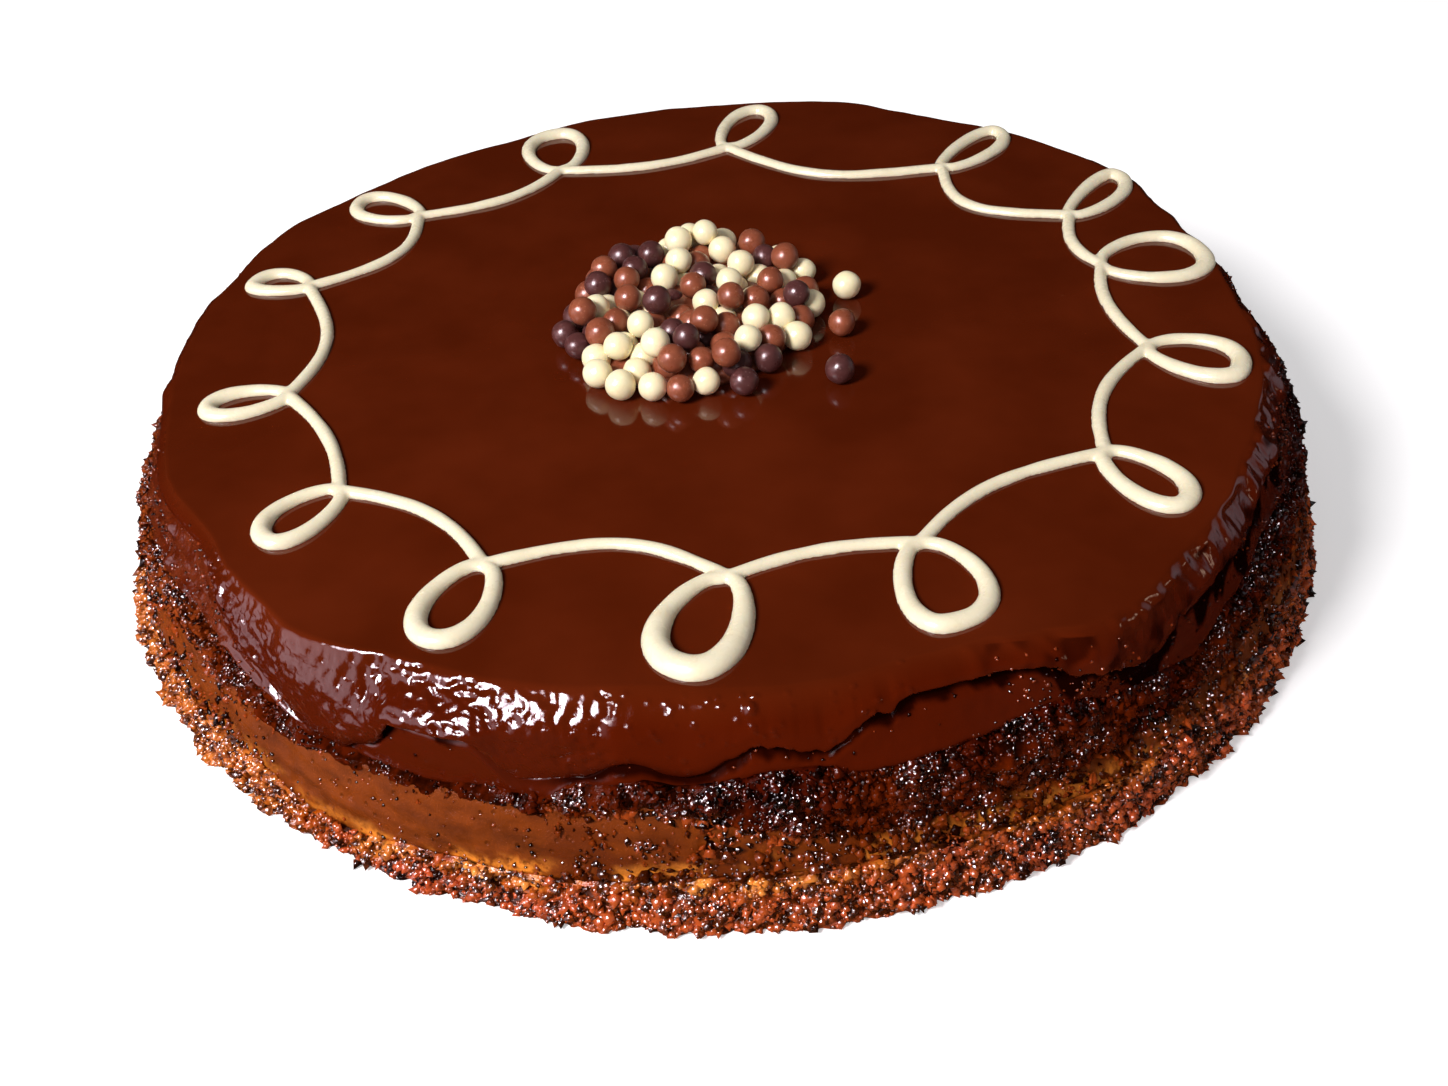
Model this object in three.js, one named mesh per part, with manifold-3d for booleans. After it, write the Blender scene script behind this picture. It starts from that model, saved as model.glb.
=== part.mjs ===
// Chocolate layer cake: a crumbly sponge foot, a band of mousse and a second sponge under a poured
// glaze, with a piped garland of loops round the top and a small heap of chocolate pearls.
// Millimetres, +Z up. The origin is the middle of the flat underside, and -Y is the front.
import * as THREE from 'three';
import { mergeVertices } from 'three/addons/utils/BufferGeometryUtils.js';
import Module from 'manifold-3d';

const wasm = await Module();
wasm.setup();

const TAU = 2 * Math.PI;
const radians = THREE.MathUtils.degToRad;

// Cake body: heights are measured over the middle, and the layers rise together towards +X
const TOP_HEIGHT = 43;
const TOP_TILT = radians(2.6);
const SLOPE = Math.tan(TOP_TILT);
const TOP_LEAN = -2; // the top sits this far along X from the foot
const SEGMENTS = 120;
const GAP = 0.3; // clearance between touching pieces

// Sponge foot
const FOOT_RADIUS = 130.3;
const FOOT_OVALITY = 0.9;
const FOOT_LONG_AXIS = radians(222);
const BASE_MIDDLE = 9;
const BASE_TOP_RADIUS = 127;
const BASE_ROWS = [0.25, 0.5, 0.75];
const BASE_CRAG = 1.5;
const BASE_SEED = 11;

// Mousse band
const MOUSSE_TOP_RADIUS = 123;
const MOUSSE_FOOT_RADIUS = 126;
const MOUSSE_BULGE = 0.6;
const MOUSSE_MIDDLE = 20;

// Upper edges of the sponge foot and of the mousse: azimuth in degrees and height
const BASE_EDGE = [
  [0, 9], [90, 9], [180, 9.5], [205, 11], [226, 10], [234, 5.5], [239, 5.5], [244, 8], [258, 8.4],
  [268, 10.2], [281, 10.5], [292, 10], [302, 8.4], [320, 8], [340, 8.5],
];
const MOUSSE_EDGE = [
  [0, 18], [45, 20], [90, 18], [135, 21], [180, 22.5], [205, 25], [215, 24.5], [224, 21.5], [231, 18],
  [237, 20], [245, 20.5], [252, 21.3], [257, 21.3], [264, 24.5], [268, 23], [274, 17.8], [279, 15.5],
  [286, 14], [310, 13.5], [325, 15], [345, 17.5],
];

// Second sponge, which shows as a craggy belt between the mousse and the glaze
const BELT_RADIUS = 122.8;
const BELT_CRAG = 1.2;
const BELT_LEDGE = 0.6;
const BELT_SEED = 23;
const BACKING_INSET = 1.8; // how far the sponge's upper edge keeps inside the glaze

// Glaze: a flat top inside a crisp rim, a bend down to the side, a thick upper lip and a thin coat
const GLAZE_THICKNESS = 3.5;
const BEND_SLOPES = [25, 50, 75].map(radians); // from the rim, where the flat top breaks, to the side
const COAT_FOOT_RADIUS = 121.7;
const COAT_FOOT_HEIGHT = 25;
const COAT_THICKNESS = 1.6;
const BEND_WALL = 3.2;
const LIP_PROUD = 1.2;
const LIP_STEP = 0.8;
const LIP_OVER_COAT = 1.4; // the lip always ends at least this far above the coat's edge

// Rim of the flat top and roundness of the bend below it: azimuth in degrees and radius
const RIM = [
  [0, 110.7], [15, 111.4], [22, 112], [30, 115], [47, 114.7], [60, 113.8], [73, 116.3], [90, 113.8],
  [105, 113.2], [118, 111.3], [130, 112.5], [140, 113.4], [152, 116], [165, 114.2], [178, 113.5],
  [192, 113.8], [205, 115.5], [214, 114], [222, 116], [234, 119.5], [243, 116.5], [252, 117.2],
  [262, 116.4], [272, 117.3], [280, 116.6], [286, 115.8], [292, 116], [297, 118.6], [301, 120.8],
  [306, 120.8], [314, 118], [322, 116.5], [330, 114.2], [342, 113.5], [352, 112.3],
];
const BEND = [
  [0, 4], [40, 5], [140, 5], [170, 4], [215, 4], [228, 6], [238, 10], [262, 10], [270, 7.5],
  [280, 4.5], [330, 4],
];

// Lower edges of the lip and of the coat: azimuth in degrees and height
const LIP_EDGE = [
  [5, 35], [20, 33], [40, 35], [62, 31], [85, 35], [105, 32], [125, 28], [140, 34], [160, 36],
  [182, 38.5], [212, 38.5], [224, 33], [236, 23], [240, 28], [245, 37], [250, 36], [254, 26],
  [258, 27.5], [263, 31.5], [267, 28.5], [274, 35], [278, 33], [282, 37.6], [286, 39.5], [295, 39.5],
  [301, 35], [307, 31], [311, 34], [318, 36], [323, 35], [328, 38.5], [345, 36],
];
const COAT_EDGE = [
  [10, 27], [30, 24], [55, 27], [80, 25], [110, 27], [125, 24], [150, 27], [180, 27], [205, 29.5],
  [220, 29], [228, 25.5], [235, 21.5], [246, 22], [251, 23.8], [255, 22.6], [259, 26.7], [264, 28.3],
  [267, 26.9], [274, 29.7], [278, 29.1], [282, 26.4], [290, 27.6], [297, 29.5], [306, 23], [314, 20.5],
  [320, 24.5], [328, 28], [340, 27],
];

// Piped garland, one row a loop in the order of piping: the knot where the line crosses itself and
// the tip (azimuth in degrees, radius), how far each side of the loop bellies out, how far the
// swag to the next knot sags inwards, and the bead's width round the loop
const GARLAND = [
  { knot: [88.4, 86.6], tip: [84, 108.7], far: 5.4, near: 5.4, sag: 14, bead: 3.8 },
  { knot: [51.2, 87.4], tip: [51, 112], far: 5.5, near: 3.4, sag: 13, bead: 3.8 },
  { knot: [26.2, 90.4], tip: [32, 112], far: 5.8, near: 2.6, sag: 4, bead: 3.8 },
  { knot: [10.7, 85.5], tip: [9, 108.2], far: 8, near: 10.4, sag: 5, bead: 4.2 },
  { knot: [347.6, 89.2], tip: [343.5, 107], far: 4.6, near: 8, sag: 7, bead: 4.2 },
  { knot: [322.3, 90.6], tip: [318.5, 109.7], far: 4.3, near: 5.8, sag: 8, bead: 4.2 },
  { knot: [293.4, 87], tip: [289.7, 108.6], far: 5, near: 9.1, sag: 4.5, bead: 4.2 },
  { knot: [270.4, 86.7], tip: [267.1, 110.4], far: 8, near: 7.5, sag: 10.5, bead: 5.4 },
  { knot: [241.8, 90.5], tip: [243.7, 111.2], far: 6, near: 5.4, sag: 7, bead: 4.4 },
  { knot: [217, 91.2], tip: [220, 108.7], far: 6, near: 4, sag: 5, bead: 4 },
  { knot: [192.6, 91.8], tip: [192.9, 108.2], far: 4.3, near: 4, sag: 9, bead: 4.2 },
  { knot: [164.7, 97], tip: [165.5, 110.3], far: 5.6, near: 2.4, sag: 10, bead: 3.8 },
  { knot: [141.5, 92.9], tip: [142.5, 111], far: 4.8, near: 6, sag: 7.5, bead: 3.8 },
  { knot: [116.7, 88.2], tip: [112.4, 108.6], far: 5.8, near: 8, sag: 7, bead: 4 },
];
const SWAG_BEAD = 3;
const LOOP_STEPS = 12;
const LOOP_PEAR = 0.2; // how much fuller a loop is near its tip than near its knot
const SWAG_STEPS = 5;
const BEAD_HEIGHT = 0.5; // of the bead's width
const BEAD_SECTION = [[-0.5, 0], [-0.37, 0.7], [0, 1], [0.37, 0.7], [0.5, 0]];

// Chocolate pearls
const PEARL = 6;
const HEAP_CENTRE = [-5.5, 1];
const HEAP_REACH = 32;
const HEAP_OVALITY = 3;
const HEAP_LONG_AXIS = radians(250);
const HEAP_PEARLS = 106;
const HEAP_MOUND = 0.25; // how far the dropping draws in towards the middle by the last pearl
const HEAP_TRIES = 100;
const HEAP_SEED = 7;
const HEAP_PRESS = 0.84; // spacing of touching pearls in pearls, so that the heap is one piece
const FACET_ALLOWANCE = 1.06; // corners stand proud so that a faceted pearl is as full as a round one
const CORE_SEGMENTS = 28;
const CORE_RINGS = [[0.6, 3.4], [0.97, 1.6]]; // share of the heap's reach, and height
const CORE_MIDDLE = 4.5;
const LOOSE_PEARLS = [[27.5, 8], [25.5, -7.5], [24, -25.5]];
const LOOSE_FACETS = 1;

/** Material of one sub-part. */
function material(color, roughness) {
  return new THREE.MeshStandardMaterial({ color, roughness, metalness: 0 });
}

const SPONGE = material('#3b1a10', 0.75);
const MOUSSE = material('#6e3c22', 0.6);
const GLAZE = material('#50160a', 0.15);
const WHITE_CHOCOLATE = material('#f3e6c4', 0.35);
const MILK_CHOCOLATE = material('#7a4030', 0.35);
const DARK_CHOCOLATE = material('#3a2226', 0.35);

/** Repeatable random numbers from 0 to 1. */
function seededRandom(seed) {
  let state = seed;
  return () => {
    state = (state + 0x6d2b79f5) >>> 0;
    let mixed = Math.imul(state ^ (state >>> 15), state | 1);
    mixed ^= mixed + Math.imul(mixed ^ (mixed >>> 7), mixed | 61);
    return ((mixed ^ (mixed >>> 14)) >>> 0) / 2 ** 32;
  };
}

/** Value at an angle from rows of [azimuth in degrees, value], eased from row to row. */
function around(rows, angle) {
  const turn = (degrees) => THREE.MathUtils.euclideanModulo(degrees, 360);
  const azimuth = turn(THREE.MathUtils.radToDeg(angle));
  const after = Math.max(0, rows.findIndex(([start]) => start > azimuth));
  const [startAngle, startValue] = rows[(after + rows.length - 1) % rows.length];
  const [endAngle, endValue] = rows[after];
  const along = turn(azimuth - startAngle) / turn(endAngle - startAngle);
  return startValue + (endValue - startValue) * (1 - Math.cos(Math.PI * along)) / 2;
}

/** Point of a layer, at a height that follows the tilt of the cake's top. */
function tilted(radius, height, angle) {
  const x = TOP_LEAN * height / TOP_HEIGHT + radius * Math.cos(angle);
  return new THREE.Vector3(x, radius * Math.sin(angle), height + SLOPE * x);
}

/** Closed solid from rings of points between two poles, from the upper pole to the lower one. */
function polarSolid(upperPole, rings, lowerPole, segments = SEGMENTS) {
  const points = [upperPole];
  for (const ring of rings) {
    for (let i = 0; i < segments; i++) points.push(ring(TAU * i / segments, i));
  }
  points.push(lowerPole);
  const at = (ring, i) => 1 + ring * segments + i % segments;
  const last = points.length - 1;
  const faces = [];
  for (let i = 0; i < segments; i++) {
    faces.push(0, at(0, i), at(0, i + 1));
    for (let ring = 0; ring < rings.length - 1; ring++) {
      faces.push(at(ring, i), at(ring + 1, i), at(ring + 1, i + 1));
      faces.push(at(ring, i), at(ring + 1, i + 1), at(ring, i + 1));
    }
    faces.push(last, at(rings.length - 1, i + 1), at(rings.length - 1, i));
  }
  return new THREE.BufferGeometry().setFromPoints(points).setIndex(faces);
}

/** Uneven steps in and out for each point of a ring, from 0 to the given depth. */
function crags(depth, random) {
  const steps = Array.from({ length: SEGMENTS }, () => depth * random());
  return (i) => steps[i];
}

/** Height of the line between the sponge foot and the mousse. */
function baseEdge(angle) {
  return around(BASE_EDGE, angle);
}

/** Lower edge of the glaze's thin coat. */
function coatEdge(angle) {
  return around(COAT_EDGE, angle);
}

/** Lower edge of the glaze's thick lip, between the coat's edge and the bend. */
function lipEdge(angle) {
  const lowest = coatEdge(angle) + LIP_OVER_COAT;
  const highest = bendPoint(BEND_SLOPES.at(-1), angle).height - LIP_STEP;
  return THREE.MathUtils.clamp(around(LIP_EDGE, angle), lowest, highest);
}

/** Radius and height of the glaze's bend where it has turned down to a slope. */
function bendPoint(slope, angle) {
  const roundness = around(BEND, angle);
  const radius = around(RIM, angle) + roundness * (Math.sin(slope) - Math.sin(BEND_SLOPES[0]));
  return { radius, height: TOP_HEIGHT - roundness * (Math.cos(BEND_SLOPES[0]) - Math.cos(slope)) };
}

/** Outer radius of the glaze's coat at a height below the bend. */
function coatRadius(height, angle) {
  const top = bendPoint(BEND_SLOPES.at(-1), angle);
  const share = (top.height - height) / (top.height - COAT_FOOT_HEIGHT);
  return THREE.MathUtils.lerp(top.radius, COAT_FOOT_RADIUS, share);
}

/** Crumbly foot of the cake, flat underneath. */
function baseSponge() {
  const random = seededRandom(BASE_SEED);
  const footRadius = (angle) => FOOT_RADIUS + FOOT_OVALITY * Math.cos(2 * (angle - FOOT_LONG_AXIS));
  const foot = (angle) => {
    const radius = footRadius(angle);
    return new THREE.Vector3(radius * Math.cos(angle), radius * Math.sin(angle), 0);
  };
  const edge = (angle) => tilted(BASE_TOP_RADIUS, baseEdge(angle) - GAP / 2, angle);
  const rows = BASE_ROWS.map((share) => {
    const inset = crags(BASE_CRAG, random);
    return (angle, i) => {
      const point = edge(angle).lerp(foot(angle), share);
      const pulled = 1 - inset(i) / BASE_TOP_RADIUS;
      return point.set(point.x * pulled, point.y * pulled, point.z);
    };
  });
  const middle = tilted(0, BASE_MIDDLE - GAP / 2, 0);
  return polarSolid(middle, [edge, ...rows, foot], new THREE.Vector3());
}

/** Smooth mousse band that runs through the cake. */
function mousse() {
  const top = (angle) => around(MOUSSE_EDGE, angle) - GAP / 2;
  const bottom = (angle) => baseEdge(angle) + GAP / 2;
  const belly = (MOUSSE_TOP_RADIUS + MOUSSE_FOOT_RADIUS) / 2 + MOUSSE_BULGE;
  const rings = [
    (angle) => tilted(MOUSSE_TOP_RADIUS, top(angle), angle),
    (angle) => tilted(belly, (top(angle) + bottom(angle)) / 2, angle),
    (angle) => tilted(MOUSSE_FOOT_RADIUS, bottom(angle), angle),
  ];
  const upper = tilted(0, MOUSSE_MIDDLE - GAP / 2, 0);
  return polarSolid(upper, rings, tilted(0, BASE_MIDDLE + GAP / 2, 0));
}

/** Second sponge: it backs the glaze and shows below it as a craggy belt. */
function topSponge() {
  const random = seededRandom(BELT_SEED);
  const top = TOP_HEIGHT - GLAZE_THICKNESS - GAP;
  const ledge = (angle) => coatEdge(angle) - GAP;
  const beltTop = (angle) => ledge(angle) - BELT_LEDGE;
  const beltFoot = (angle) => around(MOUSSE_EDGE, angle) + GAP / 2;
  const belt = [beltTop, (angle) => (beltTop(angle) + beltFoot(angle)) / 2, beltFoot].map((height) => {
    const outset = crags(BELT_CRAG, random);
    return (angle, i) => tilted(BELT_RADIUS + outset(i), height(angle), angle);
  });
  const rings = [
    (angle) => tilted(innerGlazeTopRadius(angle) - BACKING_INSET, top, angle),
    (angle) => tilted(coatRadius(coatEdge(angle), angle) - COAT_THICKNESS - GAP, ledge(angle), angle),
    ...belt,
  ];
  return polarSolid(tilted(0, top, 0), rings, tilted(0, MOUSSE_MIDDLE + GAP / 2, 0));
}

/** Radius of the glaze's underside just below its flat top. */
function innerGlazeTopRadius(angle) {
  const cosine = Math.cos(BEND_SLOPES[0]) - GLAZE_THICKNESS / around(BEND, angle);
  const slope = Math.acos(Math.max(cosine, Math.cos(BEND_SLOPES.at(-1))));
  return bendPoint(slope, angle).radius - BEND_WALL;
}

/** Poured glaze: one skin over the top and down the side to an uneven edge. */
function glaze() {
  const bend = BEND_SLOPES.map((slope) => (angle) => {
    const { radius, height } = bendPoint(slope, angle);
    return tilted(radius, height, angle);
  });
  const side = (height, proud) => (angle) => {
    return tilted(coatRadius(height(angle), angle) + proud, height(angle), angle);
  };
  const face = (angle) => (lipEdge(angle) + LIP_STEP + bendPoint(BEND_SLOPES.at(-1), angle).height) / 2;
  const rings = [
    ...bend,
    side(face, LIP_PROUD),
    side(lipEdge, LIP_PROUD / 2),
    side((angle) => lipEdge(angle) - LIP_STEP, 0),
    side(coatEdge, 0),
    side(coatEdge, -COAT_THICKNESS),
    (angle) => tilted(innerGlazeTopRadius(angle), TOP_HEIGHT - GLAZE_THICKNESS, angle),
  ];
  const under = tilted(0, TOP_HEIGHT - GLAZE_THICKNESS, 0);
  return polarSolid(tilted(0, TOP_HEIGHT, 0), rings, under);
}

/** Solid for joining, from a geometry whose shared corners are merged. */
function solidFrom(geometry) {
  const bare = geometry.clone();
  bare.deleteAttribute('normal');
  bare.deleteAttribute('uv');
  const merged = mergeVertices(bare);
  const vertProperties = Float32Array.from(merged.attributes.position.array);
  const triVerts = Uint32Array.from(merged.index.array);
  return new wasm.Manifold(new wasm.Mesh({ numProp: 3, vertProperties, triVerts }));
}

/** Geometry of a joined solid without loose scraps. */
function geometryFrom(solid) {
  const largest = solid.decompose().reduce((kept, piece) => (piece.volume() > kept.volume() ? piece : kept));
  const { vertProperties, triVerts } = largest.getMesh();
  const geometry = new THREE.BufferGeometry();
  geometry.setAttribute('position', new THREE.BufferAttribute(vertProperties, 3));
  return geometry.setIndex(new THREE.BufferAttribute(triVerts, 1));
}

/** Place on the cake's top from an azimuth in degrees and a radius. */
function onTop([azimuth, radius]) {
  const angle = radians(azimuth);
  return new THREE.Vector3(radius * Math.cos(angle), radius * Math.sin(angle), 0);
}

/** How far the glaze has dropped below the flat top at a place beyond the rim. */
function bendDrop({ x, y }) {
  const angle = Math.atan2(y, x - TOP_LEAN);
  const past = Math.max(0, Math.hypot(x - TOP_LEAN, y) - around(RIM, angle));
  const sine = Math.sin(BEND_SLOPES[0]) + past / around(BEND, angle);
  const slope = Math.asin(Math.min(sine, Math.sin(BEND_SLOPES.at(-1))));
  return TOP_HEIGHT - bendPoint(slope, angle).height;
}

/** Points and bead widths of one loop: out along its far side, round the tip and back to the knot. */
function loopRun({ knot, tip, far, near, bead }) {
  const start = onTop(knot);
  const axis = onTop(tip).sub(start);
  const forward = new THREE.Vector3(axis.y, -axis.x, 0).normalize();
  return Array.from({ length: LOOP_STEPS + 1 }, (_, step) => {
    const phase = TAU * step / LOOP_STEPS;
    const belly = (phase < Math.PI ? far : near) * Math.sin(phase) * (1 - LOOP_PEAR * Math.cos(phase));
    const share = (1 - Math.cos(phase)) / 2;
    const point = start.clone().addScaledVector(axis, share).addScaledVector(forward, belly);
    return { point, width: SWAG_BEAD + (bead - SWAG_BEAD) * share };
  });
}

/** Points and bead widths of the swag between the knots of two loops, without the knots. */
function swagRun({ knot: [fromAngle, fromRadius], sag }, { knot: [toAngle, toRadius] }) {
  const turn = -THREE.MathUtils.euclideanModulo(fromAngle - toAngle, 360);
  return Array.from({ length: SWAG_STEPS - 1 }, (_, step) => {
    const share = (step + 1) / SWAG_STEPS;
    const radius = fromRadius + (toRadius - fromRadius) * share - sag * 4 * share * (1 - share);
    return { point: onTop([fromAngle + turn * share, radius]), width: SWAG_BEAD };
  });
}

/** Closed bead along a run of points, lying on the glaze; neighbours give the end directions. */
function beadSolid(run, before, after) {
  const sides = BEAD_SECTION.length;
  const points = [];
  run.forEach(({ point, width }, n) => {
    const previous = (run[n - 1] ?? before).point;
    const next = (run[n + 1] ?? after).point;
    const across = new THREE.Vector3(previous.y - next.y, next.x - previous.x, 0).normalize();
    const at = (offset) => point.clone().addScaledVector(across, -offset * width);
    const [inner, middle, outer] = [-0.5, 0, 0.5].map((offset) => bendDrop(at(offset)));
    const bed = GAP + Math.max(0, (inner + outer) / 2 - middle); // clear of the rim under the bead
    for (const [offset, rise] of BEAD_SECTION) {
      const { x, y } = at(offset);
      points.push(new THREE.Vector3(x, y, bed + rise * BEAD_HEIGHT * width - bendDrop({ x, y })));
    }
  });
  const faces = [];
  for (let n = 0; n < run.length - 1; n++) {
    for (let k = 0; k < sides; k++) {
      const a = n * sides + k;
      const b = n * sides + (k + 1) % sides;
      faces.push(a, b, a + sides, b, b + sides, a + sides);
    }
  }
  const end = (run.length - 1) * sides;
  for (let k = 1; k < sides - 1; k++) {
    faces.push(0, k + 1, k);
    faces.push(end, end + k, end + k + 1);
  }
  return solidFrom(new THREE.BufferGeometry().setFromPoints(points).setIndex(faces));
}

/** Whole garland: each loop and swag is piped as runs that cross at the knots and fuse there. */
function pipedGarland() {
  const line = GARLAND.flatMap((loop, n) => {
    const next = GARLAND[(n + 1) % GARLAND.length];
    return [...loopRun(loop), ...swagRun(loop, next)];
  });
  const at = (n) => line[(n + line.length) % line.length];
  const stretch = (from, to) => Array.from({ length: to - from + 1 }, (_, k) => at(from + k));
  const loopLength = line.length / GARLAND.length;
  const halfLoop = LOOP_STEPS / 2;
  const halfSwag = SWAG_STEPS / 2;
  const runs = GARLAND.flatMap((_, n) => {
    const knot = n * loopLength;
    const tip = knot + halfLoop;
    const nextSwag = knot + LOOP_STEPS + Math.floor(halfSwag);
    return [[knot - Math.ceil(halfSwag), tip], [tip, nextSwag]];
  });
  const pieces = runs.map(([from, to]) => beadSolid(stretch(from, to), at(from - 1), at(to + 1)));
  return geometryFrom(pieces.reduce((joined, piece) => joined.add(piece)));
}

/** Reach of the pearl heap from its middle. */
function heapReach(angle) {
  return HEAP_REACH + HEAP_OVALITY * Math.cos(2 * (angle - HEAP_LONG_AXIS));
}

/** Pearls dropped one by one, each at the lowest of a few tried places clear of the loose ones. */
function pilePearls() {
  const random = seededRandom(HEAP_SEED);
  const pearls = [];
  const nearLoose = (x, y) => LOOSE_PEARLS.some(([looseX, looseY]) => {
    return Math.hypot(x + HEAP_CENTRE[0] - looseX, y + HEAP_CENTRE[1] - looseY) < PEARL + GAP;
  });
  const contact = HEAP_PRESS * PEARL;
  const restingHeight = (x, y) => pearls.reduce((height, pearl) => {
    const apart = Math.hypot(x - pearl.x, y - pearl.y);
    return apart < contact ? Math.max(height, pearl.z + Math.sqrt(contact ** 2 - apart ** 2)) : height;
  }, nearLoose(x, y) ? Infinity : PEARL / 2);
  for (let n = 0; n < HEAP_PEARLS; n++) {
    const drawnIn = 1 - HEAP_MOUND * n / HEAP_PEARLS;
    let lowest = new THREE.Vector3(0, 0, Infinity);
    for (let attempt = 0; attempt < HEAP_TRIES; attempt++) {
      const angle = TAU * random();
      const reach = drawnIn * Math.sqrt(random()) * heapReach(angle);
      const x = reach * Math.cos(angle);
      const y = reach * Math.sin(angle);
      const z = restingHeight(x, y);
      if (z < lowest.z) lowest = new THREE.Vector3(x, y, z);
    }
    pearls.push(lowest);
  }
  return pearls;
}

/** Low core that carries the pearls of the heap. */
function heapCore() {
  const rings = CORE_RINGS.map(([share, height]) => (angle) => {
    const reach = share * heapReach(angle);
    return new THREE.Vector3(reach * Math.cos(angle), reach * Math.sin(angle), height);
  });
  const foot = (angle) => rings.at(-1)(angle).setZ(0);
  const top = new THREE.Vector3(0, 0, CORE_MIDDLE);
  return polarSolid(top, [...rings, foot], new THREE.Vector3(), CORE_SEGMENTS);
}

/** Heap of pearls: a core with the pearls that show fused on. */
function pearlHeap() {
  const pearls = pilePearls();
  const covered = (pearl) => pearls.some((other) => other.z > pearl.z + PEARL / 2
    && Math.hypot(other.x - pearl.x, other.y - pearl.y) < PEARL / 2);
  const shown = pearls.filter((pearl) => !covered(pearl));
  const pearlSolid = ({ x, y, z }) => {
    return solidFrom(new THREE.IcosahedronGeometry(FACET_ALLOWANCE * PEARL / 2).translate(x, y, z));
  };
  return geometryFrom(shown.reduce((heap, pearl) => heap.add(pearlSolid(pearl)), solidFrom(heapCore())));
}

/** One pearl away from the heap. */
function loosePearl() {
  return new THREE.IcosahedronGeometry(PEARL / 2, LOOSE_FACETS);
}

/** Named mesh of one sub-part. */
function part(name, geometry, finish) {
  const mesh = new THREE.Mesh(geometry, finish);
  mesh.name = name;
  return mesh;
}

/** Toppings in the plane of the tilted top. */
function toppings() {
  const top = new THREE.Group();
  top.position.z = TOP_HEIGHT;
  top.rotation.y = -TOP_TILT;
  top.add(part('piped_garland', pipedGarland(), WHITE_CHOCOLATE));
  const heap = part('pearl_heap', pearlHeap(), MILK_CHOCOLATE);
  heap.position.set(...HEAP_CENTRE, GAP);
  top.add(heap);
  const finishes = [WHITE_CHOCOLATE, MILK_CHOCOLATE, DARK_CHOCOLATE];
  LOOSE_PEARLS.forEach(([x, y], n) => {
    const pearl = part(`loose_pearl_${n + 1}`, loosePearl(), finishes[n]);
    pearl.position.set(x, y, GAP + PEARL / 2);
    top.add(pearl);
  });
  return top;
}

const cake = new THREE.Group();
cake.add(part('base_sponge', baseSponge(), SPONGE));
cake.add(part('mousse', mousse(), MOUSSE));
cake.add(part('top_sponge', topSponge(), SPONGE));
cake.add(part('glaze', glaze(), GLAZE));
cake.add(toppings());

export default cake;
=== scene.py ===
"""Chocolate layer cake with a piped garland and a heap of pearls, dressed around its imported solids.

Sizes are in millimetres and angles in degrees until a mesh is written, which is in metres.
"""

from __future__ import annotations

import logging
import math
from dataclasses import dataclass, field
from enum import Enum
from typing import Any, Callable, Sequence

import bpy
import numpy as np
from mathutils import Matrix

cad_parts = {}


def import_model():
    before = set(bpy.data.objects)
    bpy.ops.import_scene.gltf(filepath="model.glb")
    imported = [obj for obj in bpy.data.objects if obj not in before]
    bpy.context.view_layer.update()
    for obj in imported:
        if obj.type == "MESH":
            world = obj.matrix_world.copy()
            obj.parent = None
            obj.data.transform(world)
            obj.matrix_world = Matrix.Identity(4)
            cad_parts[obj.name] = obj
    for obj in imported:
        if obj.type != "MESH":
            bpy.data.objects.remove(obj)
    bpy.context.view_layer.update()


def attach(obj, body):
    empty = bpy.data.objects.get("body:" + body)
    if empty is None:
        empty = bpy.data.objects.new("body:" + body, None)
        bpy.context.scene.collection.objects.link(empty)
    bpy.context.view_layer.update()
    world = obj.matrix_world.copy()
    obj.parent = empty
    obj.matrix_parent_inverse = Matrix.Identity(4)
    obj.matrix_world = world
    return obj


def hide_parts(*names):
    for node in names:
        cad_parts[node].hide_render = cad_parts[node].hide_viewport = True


LOG = logging.getLogger("cake")
Array = np.ndarray
Number = float | Array
Rows = Sequence[tuple[float, float]]
Span = tuple[float, float]
Triple = tuple[float, float, float]
Socket = bpy.types.NodeSocket
Mesh = bpy.types.Mesh
Material = bpy.types.Material
Piece = bpy.types.Object
MM = 0.001
TAU = 2 * math.pi
BODY = "root"


class Slot(Enum):
    """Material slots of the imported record."""

    SPONGE = "sponge"
    MOUSSE = "mousse"
    GLAZE = "glaze"
    WHITE = "white_chocolate"
    MILK = "milk_chocolate"
    DARK = "dark_chocolate"


# Shared rules

def around(rows: Rows, angle: Array) -> Array:
    """Values at angles from rows of azimuth and value, eased from row to row.

    Args:
        rows: Azimuths in degrees with their values, in rising order.
        angle: Angles in radians.

    Returns:
        One value for each angle.
    """
    starts, values = np.array(rows, dtype=float).T
    azimuth = np.degrees(angle) % 360
    after = np.searchsorted(starts, azimuth, side="right") % len(rows)
    before = after - 1
    span = (starts[after] - starts[before]) % 360
    along = ((azimuth - starts[before]) % 360) / span
    return values[before] + (values[after] - values[before]) * (1 - np.cos(np.pi * along)) / 2


def ease(value: Number, start: float, end: float) -> Number:
    """Smooth step from 0 at start to 1 at end."""
    share = np.clip((value - start) / (end - start), 0, 1)
    return share * share * (3 - 2 * share)


def level_ring(radius: Number, angle: Array) -> Array:
    """Points of a ring on the table."""
    return np.stack([radius * np.cos(angle), radius * np.sin(angle), 0 * angle], axis=-1)


def azimuth_columns(fine_from: float, fine_to: float, fine_step: float, step: float) -> Array:
    """Angles round the cake, closer together on one stretch.

    Args:
        fine_from: Azimuth where the fine stretch starts.
        fine_to: Azimuth where it ends.
        fine_step: Spacing on the fine stretch.
        step: Spacing on the rest.

    Returns:
        Angles in radians, in rising order.
    """
    fine = np.arange(fine_from, fine_to, fine_step)
    count = round((fine_from + 360 - fine_to) / step)
    rest = np.linspace(fine_to, fine_from + 360, count, endpoint=False)
    return np.radians(np.concatenate([fine, rest]))


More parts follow.
